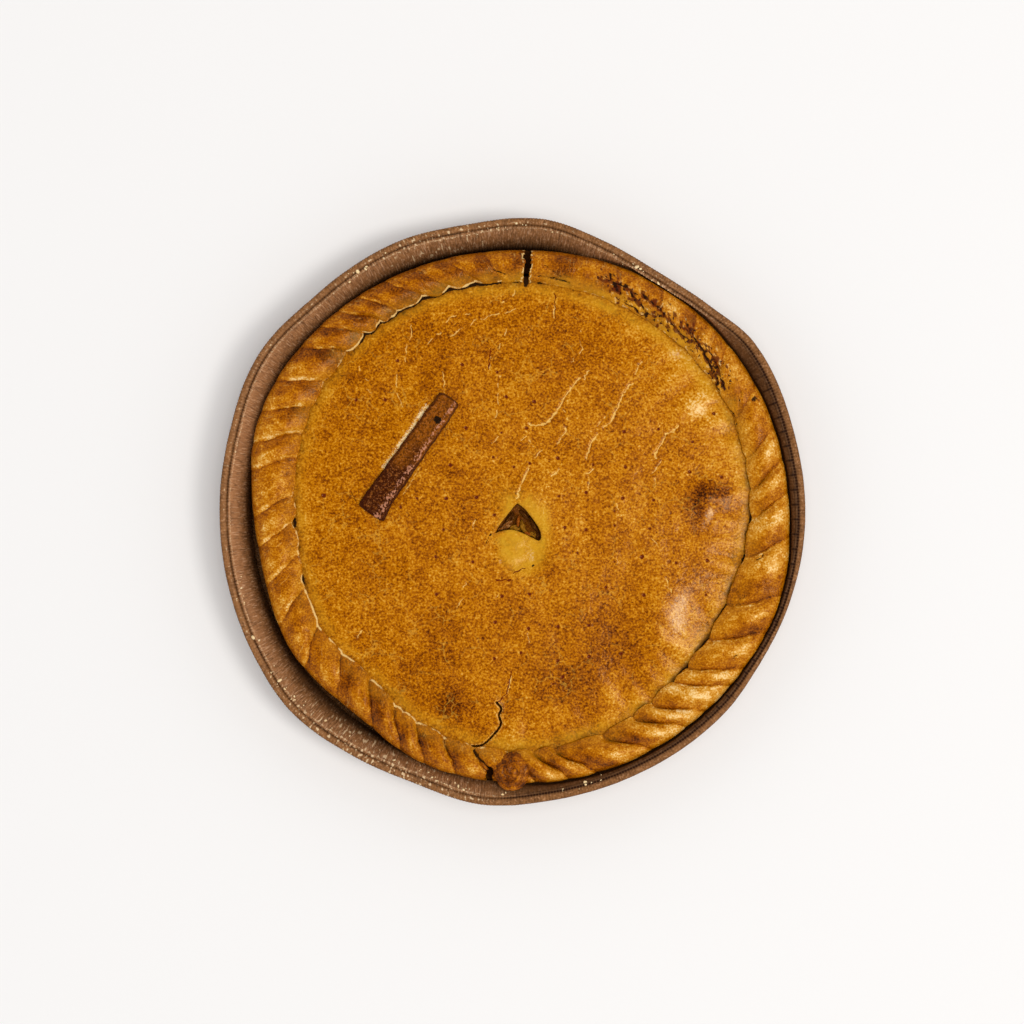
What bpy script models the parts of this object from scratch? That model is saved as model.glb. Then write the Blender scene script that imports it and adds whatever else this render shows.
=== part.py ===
# Tuna empanada: a round pie of bread dough, baked and sold in its own paper mould.
#
# The frame has +Z up. Its origin lies under the middle of the mould's bounding box, on the surface that the
# mould stands on. Places round the pie are bearings in degrees, clockwise from the back (+Y) as seen from
# above, and all lengths are in metres.

import math

import bmesh
import bpy
from mathutils import Vector

CLEARANCE = 0.0003  # air between pieces that touch

# Paper mould: its floor is round, and its folded rim has soft corners where the paper has been bent
RIM_OUTLINE = (
    (6, 0.1510), (18, 0.1469), (31, 0.1439), (44, 0.1464), (55, 0.1516), (75, 0.1503),
    (92, 0.1505), (122, 0.1490), (132, 0.1500), (155, 0.1490), (172, 0.1492), (186, 0.1508),
    (200, 0.1477), (214, 0.1495), (228, 0.1528), (240, 0.1516), (262, 0.1500), (285, 0.1505),
    (302, 0.1531), (317, 0.1500), (338, 0.1505), (351, 0.1492),
)
RIM_RADIUS = 0.150  # of the even mould that the outline bends
MOULD_HEIGHT = 0.030
PAPER = 0.0008
FLOOR_RADIUS = 0.1395
BAND_WIDTH = 0.0040  # the flat fold outside the groove
BAND_DEPTH = 0.0024
BAND_ROUNDING = 0.0006
BAND_SINK = 0.0003  # how far the band lies below the lip inside it
GROOVE_DEPTH = 0.0010
GROOVE_WIDTH = 0.0006
PRESSED_BEARING = 112  # here the pie pushes the wall out
PRESSED_WIDTH = 30
PRESSED_OUT = 0.0010
MOULD_STEPS = 96

# Crust: a dish of dough whose edge is folded over the lid into a slanting rope
EDGE_OUTLINE = (
    (0, 0.1345), (30, 0.1385), (60, 0.1410), (90, 0.1425), (110, 0.1450), (130, 0.1432),
    (160, 0.1413), (185, 0.1388), (200, 0.1370), (217, 0.1315), (238, 0.1340), (258, 0.1315),
    (272, 0.1335), (290, 0.1388), (318, 0.1370), (335, 0.1352),
)
SEAM_OUTLINE = (
    (0, 0.1180), (30, 0.1200), (60, 0.1230), (90, 0.1225), (112, 0.1197), (137, 0.1202),
    (155, 0.1228), (185, 0.1222), (204, 0.1178), (222, 0.1115), (238, 0.1147), (262, 0.1112),
    (280, 0.1136), (310, 0.1177), (335, 0.1186),
)
EDGE_RADIUS = 0.137  # of the even rope that the two outlines bend
SEAM_RADIUS = 0.117
CRUST_FLOOR = 0.003
CRUST_CORNER = 0.0024  # height of the bevel round its foot
CRUST_INSIDE = 0.1275  # radius of the hollow for the filling
INSIDE_TOP = 0.0190
# The rope's section, from the outer wall over its top to the seam: distance in from the edge, height, share
# of the slant and of the inner outline, share of the folds' depth, share of the scallops
ROPE_SECTION = (
    (0.0020, 0.0185, 0, 0.3, 0),
    (0.0004, 0.0230, 0, 0.7, 0),
    (0, 0.0260, 0, 1, 0),
    (0.0018, 0.0296, 0.10, 1, 0),
    (0.0055, 0.0320, 0.28, 1, 0),
    (0.0095, 0.0328, 0.48, 1, 0),
    (0.0140, 0.0322, 0.70, 1, 0),
    (0.0177, 0.0306, 0.90, 1, 0.6),
    (0.0196, 0.0288, 1, 0.5, 1),
)
ROPE_HEART = (0.127, 0.023)  # radius and height of the middle of that section
SEAM_HEIGHT = 0.0273
TUCK = 0.0048  # how far the rope laps over the lid's edge

# Folds of the rope: the bearings where the grooves between them meet its outer edge
FOLD_BEARINGS = (
    3.5, 14, 24, 34, 43, 52, 62.5, 72, 79, 86, 95, 107, 115.5, 124, 128.5, 136, 141, 149.5, 162, 168, 175,
    184.8, 192, 199, 205, 213, 223, 233, 244, 253, 262, 269, 279, 285, 292, 299, 308, 314, 319, 324, 331,
    338, 345, 354,
)
FOLD_SLANT = (
    (3.5, 0), (30, 4), (62, 5), (90, 5.5), (130, 8), (158, 8), (186, 4.5), (215, 7), (262, 5), (345, 6),
)
FOLD_DEPTH = (
    (3.5, 0.0008), (40, 0.0012), (62, 0.0026), (100, 0.0026), (150, 0.0034), (176, 0.0020),
    (200, 0.0030), (250, 0.0022), (300, 0.0028), (345, 0.0018),
)
FOLD_COLUMNS = 5
FOLD_CROWDING = 0.6  # draws the columns of faces towards the grooves
FOLD_ROUNDNESS = 0.6
SCALLOP = 0.0013  # how far a fold's end stands out over the lid
FOLD_UNEVENNESS = 0.0007
FOLD_RHYTHM = 2.4  # radians from one fold to the next of the wave that makes some larger than others

# The rope is broken at the back and at the front, where one end is curled into a rosette
BACK_GAP = {"bearing": 3.5, "inner": 0.114, "outer": 0.142, "width": 0.0023, "floor": 0.0240}
FRONT_GAP = {"bearing": 184.8, "inner": 0.131, "outer": 0.146, "width": 0.0028, "floor": 0.0220}
GAP_TOP = 0.040
ROSETTE_BEARING = 180
ROSETTE_DISTANCE = 0.1340
ROSETTE_RADIUS = 0.0086
ROSETTE_HEIGHT = 0.0330
ROSETTE_FOOT = 0.0220
ROSETTE_WAIST = 0.0285  # the height above which it has its full width
ROSETTE_PITCH = 0.0036
ROSETTE_RIDGE = 0.0006
ROSETTE_FALL = 0.0022  # from its middle to its rim
ROSETTE_RINGS = 7
ROSETTE_STEPS = 20

# Lid: a domed sheet of dough with a steam vent and a crack
LID_EDGE_HEIGHT = 0.0270
LID_THICKNESS = 0.0030
LID_EDGE_BEVEL = 0.0002
LID_DOME = 0.0060
LID_DOME_POWER = 2.2
LID_LAP = 0.0030  # how far the lid goes on under the rope
LID_BORDER = 0.0022  # the flat border inside the seam
LID_RINGS = (0.07, 0.14, 0.22, 0.32, 0.44, 0.57, 0.70, 0.82, 0.92, 1.0)
INNER_RINGS = (0.07, 0.14, 0.24, 0.45, 0.75, 1.0)  # of the lid's lower face and of the filling under it
LID_STEPS = 60
# Swellings and hollows of the lid: x, y, radius, rise
LID_SWELLS = (
    (0.1004, 0.0061, 0.0110, 0.0015),
    (0.0860, -0.0500, 0.0200, 0.0012),
    (0.0082, -0.0225, 0.0080, -0.0024),
    (0.0040, 0.0060, 0.0140, 0.0008),
    (-0.0292, -0.0988, 0.0140, 0.0008),
    (0.0450, 0.0830, 0.0300, 0.0008),
    (-0.0570, -0.0450, 0.0350, -0.0005),
    (-0.0830, 0.0420, 0.0250, -0.0006),
)
VENT_CORNERS = (
    (0.0028, 0.0038), (0.0092, -0.0028), (0.0152, -0.0150), (0.0059, -0.0111), (-0.0005, -0.0092),
    (-0.0074, -0.0099),
)
CRACK_ROUTE = (
    (-0.0205, -0.1203), (-0.0143, -0.1191), (-0.0079, -0.1126), (-0.0059, -0.1080), (-0.0070, -0.1039),
    (-0.0059, -0.1001), (-0.0079, -0.0975),
)
CRACK_WIDTH = 0.0009
CRACK_DEPTH = 0.0016
CRACK_POINT = 0.35  # width of its inner end as a share of its width
CUTTER_FLOOR = 0.020
CUTTER_TOP = 0.045

# Filling: onion, pepper and tuna, seen through the vent
FILLING_INSET = 0.0108
FILLING_CORNER = 0.0015
FILLING_CHAMFER = 0.0175
FILLING_SHOULDER = 0.0225
FILLING_LAP = 0.0020
FILLING_AIR = 0.0010
FILLING_STEPS = 40
VENT_CENTRE = (0.0040, -0.0075)
VENT_HOLLOW = 0.0028
VENT_HOLLOW_RADIUS = 0.0100
# Pieces that show: x, y, length, width, height, turn in degrees
CHUNKS = (
    (-0.0040, -0.0075, 0.0070, 0.0042, 0.0040, 20),
    (0.0010, -0.0020, 0.0080, 0.0036, 0.0038, 75),
    (0.0052, -0.0060, 0.0100, 0.0026, 0.0040, 100),
    (0.0085, -0.0100, 0.0080, 0.0050, 0.0040, -50),
    (0.0125, -0.0130, 0.0060, 0.0040, 0.0030, 10),
    (0.0020, -0.0085, 0.0060, 0.0040, 0.0034, -20),
)

# Dough strip: a flat ribbon laid on the lid as a mark
STRIP_START = (-0.0315, 0.0584)
STRIP_END = (-0.0730, -0.0004)
STRIP_START_WIDTH = 0.0122
STRIP_END_WIDTH = 0.0144
STRIP_THICKNESS = 0.0026
STRIP_SECTIONS = 9
STRIP_END_SHARE = 0.8  # thickness of its two ends as a share of its thickness
STRIP_AIR = 0.0004
# Its section, as shares of the half width and of the thickness
STRIP_SECTION = (
    (-0.94, 0), (-1, 0.3), (-0.96, 0.62), (-0.6, 1), (0, 0.92), (0.6, 1), (0.96, 0.62), (1, 0.3), (0.94, 0),
    (0, 0),
)


def closed_curve(points):
    """A smooth function of the bearing through every (bearing, value) point and closes on itself."""
    before = [(bearing - 360, value) for bearing, value in points[-2:]]
    after = [(bearing + 360, value) for bearing, value in points[:3]]
    stops = before + list(points) + after

    def value_at(bearing):
        bearing = (bearing - points[0][0]) % 360 + points[0][0]
        i = max(k for k in range(2, len(points) + 2) if stops[k][0] <= bearing + 1e-9)
        (b0, v0), (b1, v1), (b2, v2), (b3, v3) = stops[i - 1:i + 3]
        t = (bearing - b1) / (b2 - b1)
        slope1 = (v2 - v0) / (b2 - b0) * (b2 - b1)
        slope2 = (v3 - v1) / (b3 - b1) * (b2 - b1)
        rise = v2 - v1
        square = 3 * rise - 2 * slope1 - slope2
        cube = slope1 + slope2 - 2 * rise
        return v1 + t * slope1 + t ** 2 * square + t ** 3 * cube

    return value_at


rim = closed_curve(RIM_OUTLINE)
edge = closed_curve(EDGE_OUTLINE)
seam = closed_curve(SEAM_OUTLINE)
fold_slant = closed_curve(FOLD_SLANT)
fold_depth = closed_curve(FOLD_DEPTH)


def place(bearing, radius, height=0.0):
    """The point at a bearing and a distance from the mould's middle."""
    angle = math.radians(bearing)
    return Vector((radius * math.sin(angle), radius * math.cos(angle), height))


def bearing_of(x, y):
    return math.degrees(math.atan2(x, y)) % 360


def nearness(distance, reach):
    """1 at no distance, falling to 0 in a bell as wide as the reach."""
    return math.exp(-((distance / reach) ** 2))


def material(name, hex_colour, roughness):
    made = bpy.data.materials.new(name)
    made.use_nodes = True
    parts = [int(hex_colour[i:i + 2], 16) / 255 for i in (0, 2, 4)]
    linear = [c / 12.92 if c <= 0.04045 else ((c + 0.055) / 1.055) ** 2.4 for c in parts]
    shader = made.node_tree.nodes["Principled BSDF"]
    shader.inputs["Base Color"].default_value = (*linear, 1)
    shader.inputs["Roughness"].default_value = roughness
    made.diffuse_color = (*linear, 1)
    return made


def add_object(name, bm, look=None):
    """Makes an object of the bmesh, with its faces pointing out."""
    bm.normal_update()
    bmesh.ops.recalc_face_normals(bm, faces=bm.faces)
    mesh = bpy.data.meshes.new(name)
    bm.to_mesh(mesh)
    bm.free()
    made = bpy.data.objects.new(name, mesh)
    bpy.context.scene.collection.objects.link(made)
    if look:
        mesh.materials.append(look)
    return made


def as_helper(made):
    """Keeps a cutter or a joined piece out of the model itself."""
    made.hide_render = True
    made.display_type = "WIRE"
    return made


def combine(target, helper, operation):
    step = target.modifiers.new(helper.name, "BOOLEAN")
    step.operation = operation
    step.solver = "EXACT"
    step.object = as_helper(helper)


def turned(profile, steps, moved):
    """A closed body of revolution. The profile's points are (radius, height, marks), from the lower pole to
    the upper one, and each turned point is then placed by moved(share of the turn, radius, height, marks)."""
    bm = bmesh.new()
    row_layer = bm.verts.layers.int.new("row")
    for number, point in enumerate(profile):
        vertex = bm.verts.new((0, point[0], point[1]))
        vertex[row_layer] = number
    bm.verts.ensure_lookup_table()
    for number in range(len(profile) - 1):
        bm.edges.new((bm.verts[number], bm.verts[number + 1]))
    bmesh.ops.spin(
        bm, geom=bm.verts[:] + bm.edges[:], cent=(0, 0, 0), axis=(0, 0, -1), angle=math.tau, steps=steps,
        use_merge=True, use_duplicate=False,
    )
    bmesh.ops.remove_doubles(bm, verts=bm.verts, dist=1e-6)
    for vertex in bm.verts:
        radius, height, *marks = profile[vertex[row_layer]]
        share = bearing_of(vertex.co.x, vertex.co.y) / 360 if radius else 0.0
        vertex.co = moved(share, radius, height, *marks)
    return bm


def wall_push(bearing):
    off = (bearing - PRESSED_BEARING + 180) % 360 - 180
    return PRESSED_OUT * nearness(off, PRESSED_WIDTH)


def mould_point(share, radius, height, pushed):
    """The rim follows its outline, and the wall below it less and less, down to the round floor."""
    bearing = share * 360
    if not radius:
        return Vector((0, 0, height))
    climb = min(1.0, height / MOULD_HEIGHT)
    return place(bearing, radius + climb * (rim(bearing) - RIM_RADIUS + pushed * wall_push(bearing)), height)


def mould_profile():
    """Up the outside, round the fold and its groove, and down the inside. The last value says whether a point
    gives way where the pie presses."""
    lip = RIM_RADIUS - BAND_WIDTH - GROOVE_WIDTH  # outer face of the wall at its top
    inner = lip - PAPER
    return [
        (0, 0, 0),
        (FLOOR_RADIUS, 0, 0),
        (FLOOR_RADIUS + 2 * PAPER, 2 * PAPER, 0),
        (lip, MOULD_HEIGHT - BAND_DEPTH - PAPER, 1),
        (RIM_RADIUS - BAND_ROUNDING, MOULD_HEIGHT - BAND_DEPTH, 0),
        (RIM_RADIUS, MOULD_HEIGHT - BAND_DEPTH / 2, 0),
        (RIM_RADIUS - BAND_ROUNDING, MOULD_HEIGHT - BAND_SINK, 0),
        (RIM_RADIUS - BAND_WIDTH, MOULD_HEIGHT - BAND_SINK, 1),
        (RIM_RADIUS - BAND_WIDTH - GROOVE_WIDTH / 2, MOULD_HEIGHT - GROOVE_DEPTH, 1),
        (lip, MOULD_HEIGHT, 1),
        (inner, MOULD_HEIGHT - PAPER / 4, 1),
        (FLOOR_RADIUS + PAPER, 3 * PAPER, 0),
        (FLOOR_RADIUS - PAPER, PAPER, 0),
        (0, PAPER, 0),
    ]


def inside_mould(bearing, height):
    """The largest radius that the pie may reach at a height, clear of the mould's wall."""
    low = (FLOOR_RADIUS + PAPER, 3 * PAPER)
    high = (RIM_RADIUS - BAND_WIDTH - GROOVE_WIDTH - PAPER, MOULD_HEIGHT)
    climb = min(1.0, max(0.0, (height - low[1]) / (high[1] - low[1])))
    even = low[0] + climb * (high[0] - low[0]) - (1 - climb) * PAPER
    bend = min(1.0, height / MOULD_HEIGHT) * (rim(bearing) - RIM_RADIUS + wall_push(bearing))
    return even + bend - 2 * CLEARANCE


def fold_at(share):
    """The fold at a share of the way round: its number, where in it the point lies, and the bearing there."""
    position = share * len(FOLD_BEARINGS)
    number = min(int(position + 1e-6), len(FOLD_BEARINGS) - 1)
    part = max(0.0, position - number)
    part -= FOLD_CROWDING * math.sin(math.tau * part) / math.tau
    start = FOLD_BEARINGS[number]
    last = number == len(FOLD_BEARINGS) - 1
    end = FOLD_BEARINGS[0] + 360 if last else FOLD_BEARINGS[number + 1]
    return number, part, start + part * (end - start)


def crust_point(share, radius, height, slanted, outward, folding, scalloped):
    """A point of the even dish, folded, slanted and bent to the two outlines."""
    if not radius:
        return Vector((0, 0, height))
    number, part, bearing = fold_at(share)
    swell = abs(math.sin(math.pi * part)) ** FOLD_ROUNDNESS
    unevenness = FOLD_UNEVENNESS * math.sin(FOLD_RHYTHM * number)
    depth = folding * (fold_depth(bearing) * (1 - swell) - unevenness * swell)
    heart_radius, heart_height = ROPE_HEART
    inwards = Vector((heart_radius - radius, heart_height - height)).normalized() * depth
    bearing += fold_slant(bearing) * slanted
    bend = outward * (edge(bearing) - EDGE_RADIUS) + (1 - outward) * (seam(bearing) - SEAM_RADIUS)
    radius += inwards.x + bend - scalloped * SCALLOP * swell
    height += inwards.y
    return place(bearing, min(radius, inside_mould(bearing, height)), height)


def crust_profile():
    """Radius, height, and the shares of the slant, the outer outline, the folds and the scallops."""
    foot = PAPER + CLEARANCE
    floor = foot + CRUST_FLOOR
    bottom = [
        (0, foot, 0, 1, 0, 0),
        (EDGE_RADIUS - 4 * CRUST_CORNER, foot, 0, 1, 0, 0),
        (EDGE_RADIUS - 3 * CRUST_CORNER, foot + CRUST_CORNER, 0, 1, 0, 0),
    ]
    rope = [
        (EDGE_RADIUS - inwards, height, slanted, 1 - slanted, folding, scalloped)
        for inwards, height, slanted, folding, scalloped in ROPE_SECTION
    ]
    inside = [
        (SEAM_RADIUS, SEAM_HEIGHT, 1, 0, 0, 1),
        (SEAM_RADIUS + TUCK, SEAM_HEIGHT, 1, 0, 0, 0),
        (CRUST_INSIDE, INSIDE_TOP, 1, 1, 0, 0),
        (CRUST_INSIDE, floor, 1, 1, 0, 0),
        (0, floor, 1, 1, 0, 0),
    ]
    return bottom + rope + inside


def rosette():
    """The curled end of the rope: a low dome with a spiral ridge."""
    rings = [ROSETTE_RADIUS * (number + 1) / ROSETTE_RINGS for number in range(ROSETTE_RINGS)]
    centre = place(ROSETTE_BEARING, ROSETTE_DISTANCE)

    def ridged(share, radius, height, spiral):
        fall = ROSETTE_FALL * (radius / ROSETTE_RADIUS) ** 4
        ridge = ROSETTE_RIDGE * math.cos(math.tau * (radius / ROSETTE_PITCH - share))
        level = height + spiral * ((ridge if radius else ROSETTE_RIDGE) - fall)
        return centre + place(share * 360, radius, level)

    foot = [(0, ROSETTE_FOOT, 0), (ROSETTE_RADIUS / 2, ROSETTE_FOOT, 0), (ROSETTE_RADIUS, ROSETTE_WAIST, 0)]
    top = [(ring, ROSETTE_HEIGHT, 1) for ring in reversed([0] + rings)]
    return turned(foot + top, ROSETTE_STEPS, ridged)


def gap_cutter(gap):
    """A thin block across the rope."""
    bm = bmesh.new()
    bmesh.ops.create_cube(bm, size=1)
    length = gap["outer"] - gap["inner"]
    middle = place(gap["bearing"], (gap["outer"] + gap["inner"]) / 2, (gap["floor"] + GAP_TOP) / 2)
    angle = -math.radians(gap["bearing"])
    for vertex in bm.verts:
        x = vertex.co.x * gap["width"]
        y = vertex.co.y * length
        z = vertex.co.z * (GAP_TOP - gap["floor"])
        turned_x = x * math.cos(angle) - y * math.sin(angle)
        turned_y = x * math.sin(angle) + y * math.cos(angle)
        vertex.co = middle + Vector((turned_x, turned_y, z))
    return bm


def lid_border(bearing):
    return seam(bearing) - LID_BORDER


def lid_top(x, y):
    """The height of the lid's upper face."""
    outwards = min(1.0, math.hypot(x, y) / lid_border(bearing_of(x, y)))
    swells = sum(
        rise * nearness(math.hypot(x - sx, y - sy), reach) for sx, sy, reach, rise in LID_SWELLS
    )
    return LID_EDGE_HEIGHT + LID_DOME * (1 - outwards ** LID_DOME_POWER) + swells * (1 - outwards ** 8)


def spread_from_vent(share, part):
    """A point part of the way from the vent to the lid's border: the faces are finest round the vent."""
    bearing = share * 360
    vent = Vector((*VENT_CENTRE, 0))
    return vent.lerp(place(bearing, lid_border(bearing)), part)


def lid_point(share, part, drop, lap):
    """A point of the lid: part of the way out to its border, or under the rope by the lap."""
    point = spread_from_vent(share, part)
    if lap:
        point = place(share * 360, lid_border(share * 360) + LID_BORDER + lap)
    point.z = lid_top(point.x, point.y) - drop
    return point


def lid_profile():
    """Part of the way out, height below the upper face, lap under the rope; the lower face comes first."""
    lower = [(part, LID_THICKNESS, 0) for part in (0,) + INNER_RINGS]
    rim_of_lid = [(1, LID_THICKNESS - LID_EDGE_BEVEL, LID_LAP), (1, LID_EDGE_BEVEL, LID_LAP)]
    upper = [(part, 0, 0) for part in reversed((0,) + LID_RINGS)]
    return lower + rim_of_lid + upper


def vent_cutter():
    bm = bmesh.new()
    face = bm.faces.new([bm.verts.new((x, y, CUTTER_FLOOR)) for x, y in VENT_CORNERS])
    raised = bmesh.ops.extrude_face_region(bm, geom=[face])
    top = [item for item in raised["geom"] if isinstance(item, bmesh.types.BMVert)]
    bmesh.ops.translate(bm, verts=top, vec=(0, 0, CUTTER_TOP - CUTTER_FLOOR))
    return bm


def crack_cutter():
    """A ribbon along the crack's route, pointed at its inner end, that follows the lid's slope."""
    bm = bmesh.new()
    left, right = [], []
    for number, (x, y) in enumerate(CRACK_ROUTE):
        before = CRACK_ROUTE[max(0, number - 1)]
        after = CRACK_ROUTE[min(len(CRACK_ROUTE) - 1, number + 1)]
        along = Vector((after[0] - before[0], after[1] - before[1])).normalized()
        half = CRACK_WIDTH / 2 * (CRACK_POINT if number == len(CRACK_ROUTE) - 1 else 1)
        floor = lid_top(x, y) - CRACK_DEPTH
        left.append(bm.verts.new((x - along.y * half, y + along.x * half, floor)))
        right.append(bm.verts.new((x + along.y * half, y - along.x * half, floor)))
    faces = [
        bm.faces.new((left[i], left[i + 1], right[i + 1], right[i])) for i in range(len(CRACK_ROUTE) - 1)
    ]
    raised = bmesh.ops.extrude_face_region(bm, geom=faces)
    top = [item for item in raised["geom"] if isinstance(item, bmesh.types.BMVert)]
    for vertex in top:
        vertex.co.z = CUTTER_TOP
    return bm


def filling_point(share, part, height, kind):
    """A point of the filling: on its floor and sides at a fixed height, on top just under the lid."""
    bearing = share * 360
    if kind == "side":
        return place(bearing, part * (edge(bearing) - FILLING_INSET), height)
    if kind == "shoulder":
        return place(bearing, seam(bearing) + FILLING_LAP, height)
    point = spread_from_vent(share, part)
    off = math.hypot(point.x - VENT_CENTRE[0], point.y - VENT_CENTRE[1])
    point.z = lid_top(point.x, point.y) - LID_THICKNESS - FILLING_AIR
    point.z -= VENT_HOLLOW * nearness(off, VENT_HOLLOW_RADIUS)
    return point


def filling_profile():
    floor = PAPER + CLEARANCE + CRUST_FLOOR + CLEARANCE
    sides = [(0, floor, "side"), (0.99, floor, "side")]
    sides += [(1, floor + FILLING_CORNER, "side"), (1, FILLING_CHAMFER, "side")]
    shoulder = [(1, FILLING_SHOULDER, "shoulder")]
    top = [(part, 0, "top") for part in reversed((0,) + INNER_RINGS)]
    return sides + shoulder + top


def add_chunks(filling):
    """Joins the pieces that show in the vent to the filling, their tops just under the lid."""
    group = bpy.data.collections.new("filling_pieces")
    bpy.context.scene.collection.children.link(group)
    for number, (x, y, length, width, height, turn) in enumerate(CHUNKS):
        bm = bmesh.new()
        bmesh.ops.create_icosphere(bm, subdivisions=2, radius=0.5)
        top = lid_top(x, y) - LID_THICKNESS - CLEARANCE
        angle = math.radians(turn)
        for vertex in bm.verts:
            along = vertex.co.x * length
            across = vertex.co.y * width
            vertex.co = (
                x + along * math.cos(angle) - across * math.sin(angle),
                y + along * math.sin(angle) + across * math.cos(angle),
                top + (vertex.co.z - 0.5) * height,
            )
        piece = add_object("filling_piece_%d" % number, bm)
        bpy.context.scene.collection.objects.unlink(piece)
        group.objects.link(piece)
    step = filling.modifiers.new("filling_pieces", "BOOLEAN")
    step.operation = "UNION"
    step.solver = "EXACT"
    step.operand_type = "COLLECTION"
    step.collection = group
    bpy.context.view_layer.update()
    evaluated = filling.evaluated_get(bpy.context.evaluated_depsgraph_get())
    joined = bpy.data.meshes.new_from_object(evaluated)
    filling.modifiers.clear()
    filling.data = joined
    for piece in list(group.objects):
        bpy.data.objects.remove(piece)
    bpy.data.collections.remove(group)


def strip():
    """A ribbon with rounded edges that follows the lid's upper face."""
    bm = bmesh.new()
    start = Vector(STRIP_START)
    end = Vector(STRIP_END)
    along = (end - start).normalized()
    across = Vector((along.y, -along.x))
    loops = []
    for number in range(STRIP_SECTIONS):
        share = number / (STRIP_SECTIONS - 1)
        half = (STRIP_START_WIDTH + share * (STRIP_END_WIDTH - STRIP_START_WIDTH)) / 2
        thickness = STRIP_THICKNESS * (STRIP_END_SHARE if number in (0, STRIP_SECTIONS - 1) else 1)
        ring = []
        for sideways, up in STRIP_SECTION:
            spot = start.lerp(end, share) + across * (sideways * half)
            ring.append(bm.verts.new((*spot, lid_top(*spot) + STRIP_AIR + up * thickness)))
        loops.append([bm.edges.new((ring[i], ring[(i + 1) % len(ring)])) for i in range(len(ring))])
    for first, second in zip(loops, loops[1:]):
        bmesh.ops.bridge_loops(bm, edges=first + second)
    for loop in (loops[0], loops[-1]):
        bmesh.ops.edgeloop_fill(bm, edges=loop)
    return bm


def main():
    for old in list(bpy.data.objects):
        bpy.data.objects.remove(old)

    paper = material("brown_baking_paper", "6E4F38", 0.85)
    crust_look = material("baked_crust", "B4711C", 0.45)
    lid_look = material("baked_lid", "C07D22", 0.5)
    filling_look = material("onion_and_tuna_filling", "7A4A17", 0.4)
    strip_look = material("dark_baked_strip", "7C3410", 0.3)

    mould = add_object("paper_mould", turned(mould_profile(), MOULD_STEPS, mould_point), paper)

    crust_steps = len(FOLD_BEARINGS) * FOLD_COLUMNS
    crust = add_object("base_crust", turned(crust_profile(), crust_steps, crust_point), crust_look)
    combine(crust, add_object("rope_end", rosette()), "UNION")
    combine(crust, add_object("back_gap", gap_cutter(BACK_GAP)), "DIFFERENCE")
    combine(crust, add_object("front_gap", gap_cutter(FRONT_GAP)), "DIFFERENCE")

    lid = add_object("lid", turned(lid_profile(), LID_STEPS, lid_point), lid_look)
    combine(lid, add_object("vent_hole", vent_cutter()), "DIFFERENCE")
    combine(lid, add_object("lid_crack", crack_cutter()), "DIFFERENCE")

    filling = add_object("filling", turned(filling_profile(), FILLING_STEPS, filling_point), filling_look)
    add_chunks(filling)

    ribbon = add_object("dough_strip", strip(), strip_look)

    corners = [vertex.co for vertex in mould.data.vertices]
    low = Vector([min(corner[axis] for corner in corners) for axis in range(3)])
    high = Vector([max(corner[axis] for corner in corners) for axis in range(3)])
    shift = Vector((-(low.x + high.x) / 2, -(low.y + high.y) / 2, 0))
    for made in bpy.data.objects:
        made.location = shift
    for made in (mould, crust, lid, filling, ribbon):
        made.data.shade_smooth()
        made.data.set_sharp_from_angle(angle=math.radians(40))


main()
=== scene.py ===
# Tuna empanada: a round pie of golden bread dough in its brown paper baking mould, seen from straight above.
# Places on the pie are bearings in degrees, clockwise from the back (+Y), and lengths are in metres.

import math

import bmesh
import bpy
import numpy as np
from mathutils import Matrix, Vector, noise


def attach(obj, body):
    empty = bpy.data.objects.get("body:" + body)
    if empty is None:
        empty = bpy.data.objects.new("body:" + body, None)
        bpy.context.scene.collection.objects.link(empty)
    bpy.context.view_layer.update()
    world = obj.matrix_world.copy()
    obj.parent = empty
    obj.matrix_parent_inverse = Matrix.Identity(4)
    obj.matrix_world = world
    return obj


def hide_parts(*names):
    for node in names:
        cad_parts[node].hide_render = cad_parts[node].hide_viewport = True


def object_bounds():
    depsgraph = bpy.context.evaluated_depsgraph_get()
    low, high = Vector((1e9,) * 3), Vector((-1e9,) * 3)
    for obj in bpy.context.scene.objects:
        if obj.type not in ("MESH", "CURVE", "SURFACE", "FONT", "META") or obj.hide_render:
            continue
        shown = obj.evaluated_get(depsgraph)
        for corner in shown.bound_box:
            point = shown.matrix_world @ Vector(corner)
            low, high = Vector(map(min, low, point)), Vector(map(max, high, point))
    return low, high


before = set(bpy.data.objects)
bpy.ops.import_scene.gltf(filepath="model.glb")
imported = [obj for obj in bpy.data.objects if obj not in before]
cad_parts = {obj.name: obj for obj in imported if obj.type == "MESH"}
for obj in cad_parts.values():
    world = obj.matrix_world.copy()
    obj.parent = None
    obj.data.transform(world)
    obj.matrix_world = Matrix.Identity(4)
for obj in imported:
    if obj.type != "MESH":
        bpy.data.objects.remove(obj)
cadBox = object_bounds()
scene = bpy.context.scene

mm = 0.001
body = "root"
print("frame loaded:", sorted(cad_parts))


def roundCurve(stops):
    # a smooth function of the bearing through (bearing, value) stops, which closes on itself
    count = len(stops)
    order = range(-2, count + 3)
    at = np.array([stops[k % count][0] + 360 * (k // count) for k in order], float)
    value = np.array([stops[k % count][1] for k in order], float)
    slope = (value[2:] - value[:-2]) / (at[2:] - at[:-2])

    def valueAt(bearing):
        turned = (np.asarray(bearing, float) - stops[0][0]) % 360 + stops[0][0]
        k = np.clip(np.searchsorted(at, turned, side="right") - 1, 2, count + 1)
        width = at[k + 1] - at[k]
        t = (turned - at[k]) / width
        start = slope[k - 1] * width
        end = slope[k] * width
        rise = value[k + 1] - value[k]
        squared = t ** 2 * (3 * rise - 2 * start - end)
        cubed = t ** 3 * (start + end - 2 * rise)
        return value[k] + t * start + squared + cubed

    return valueAt


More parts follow.
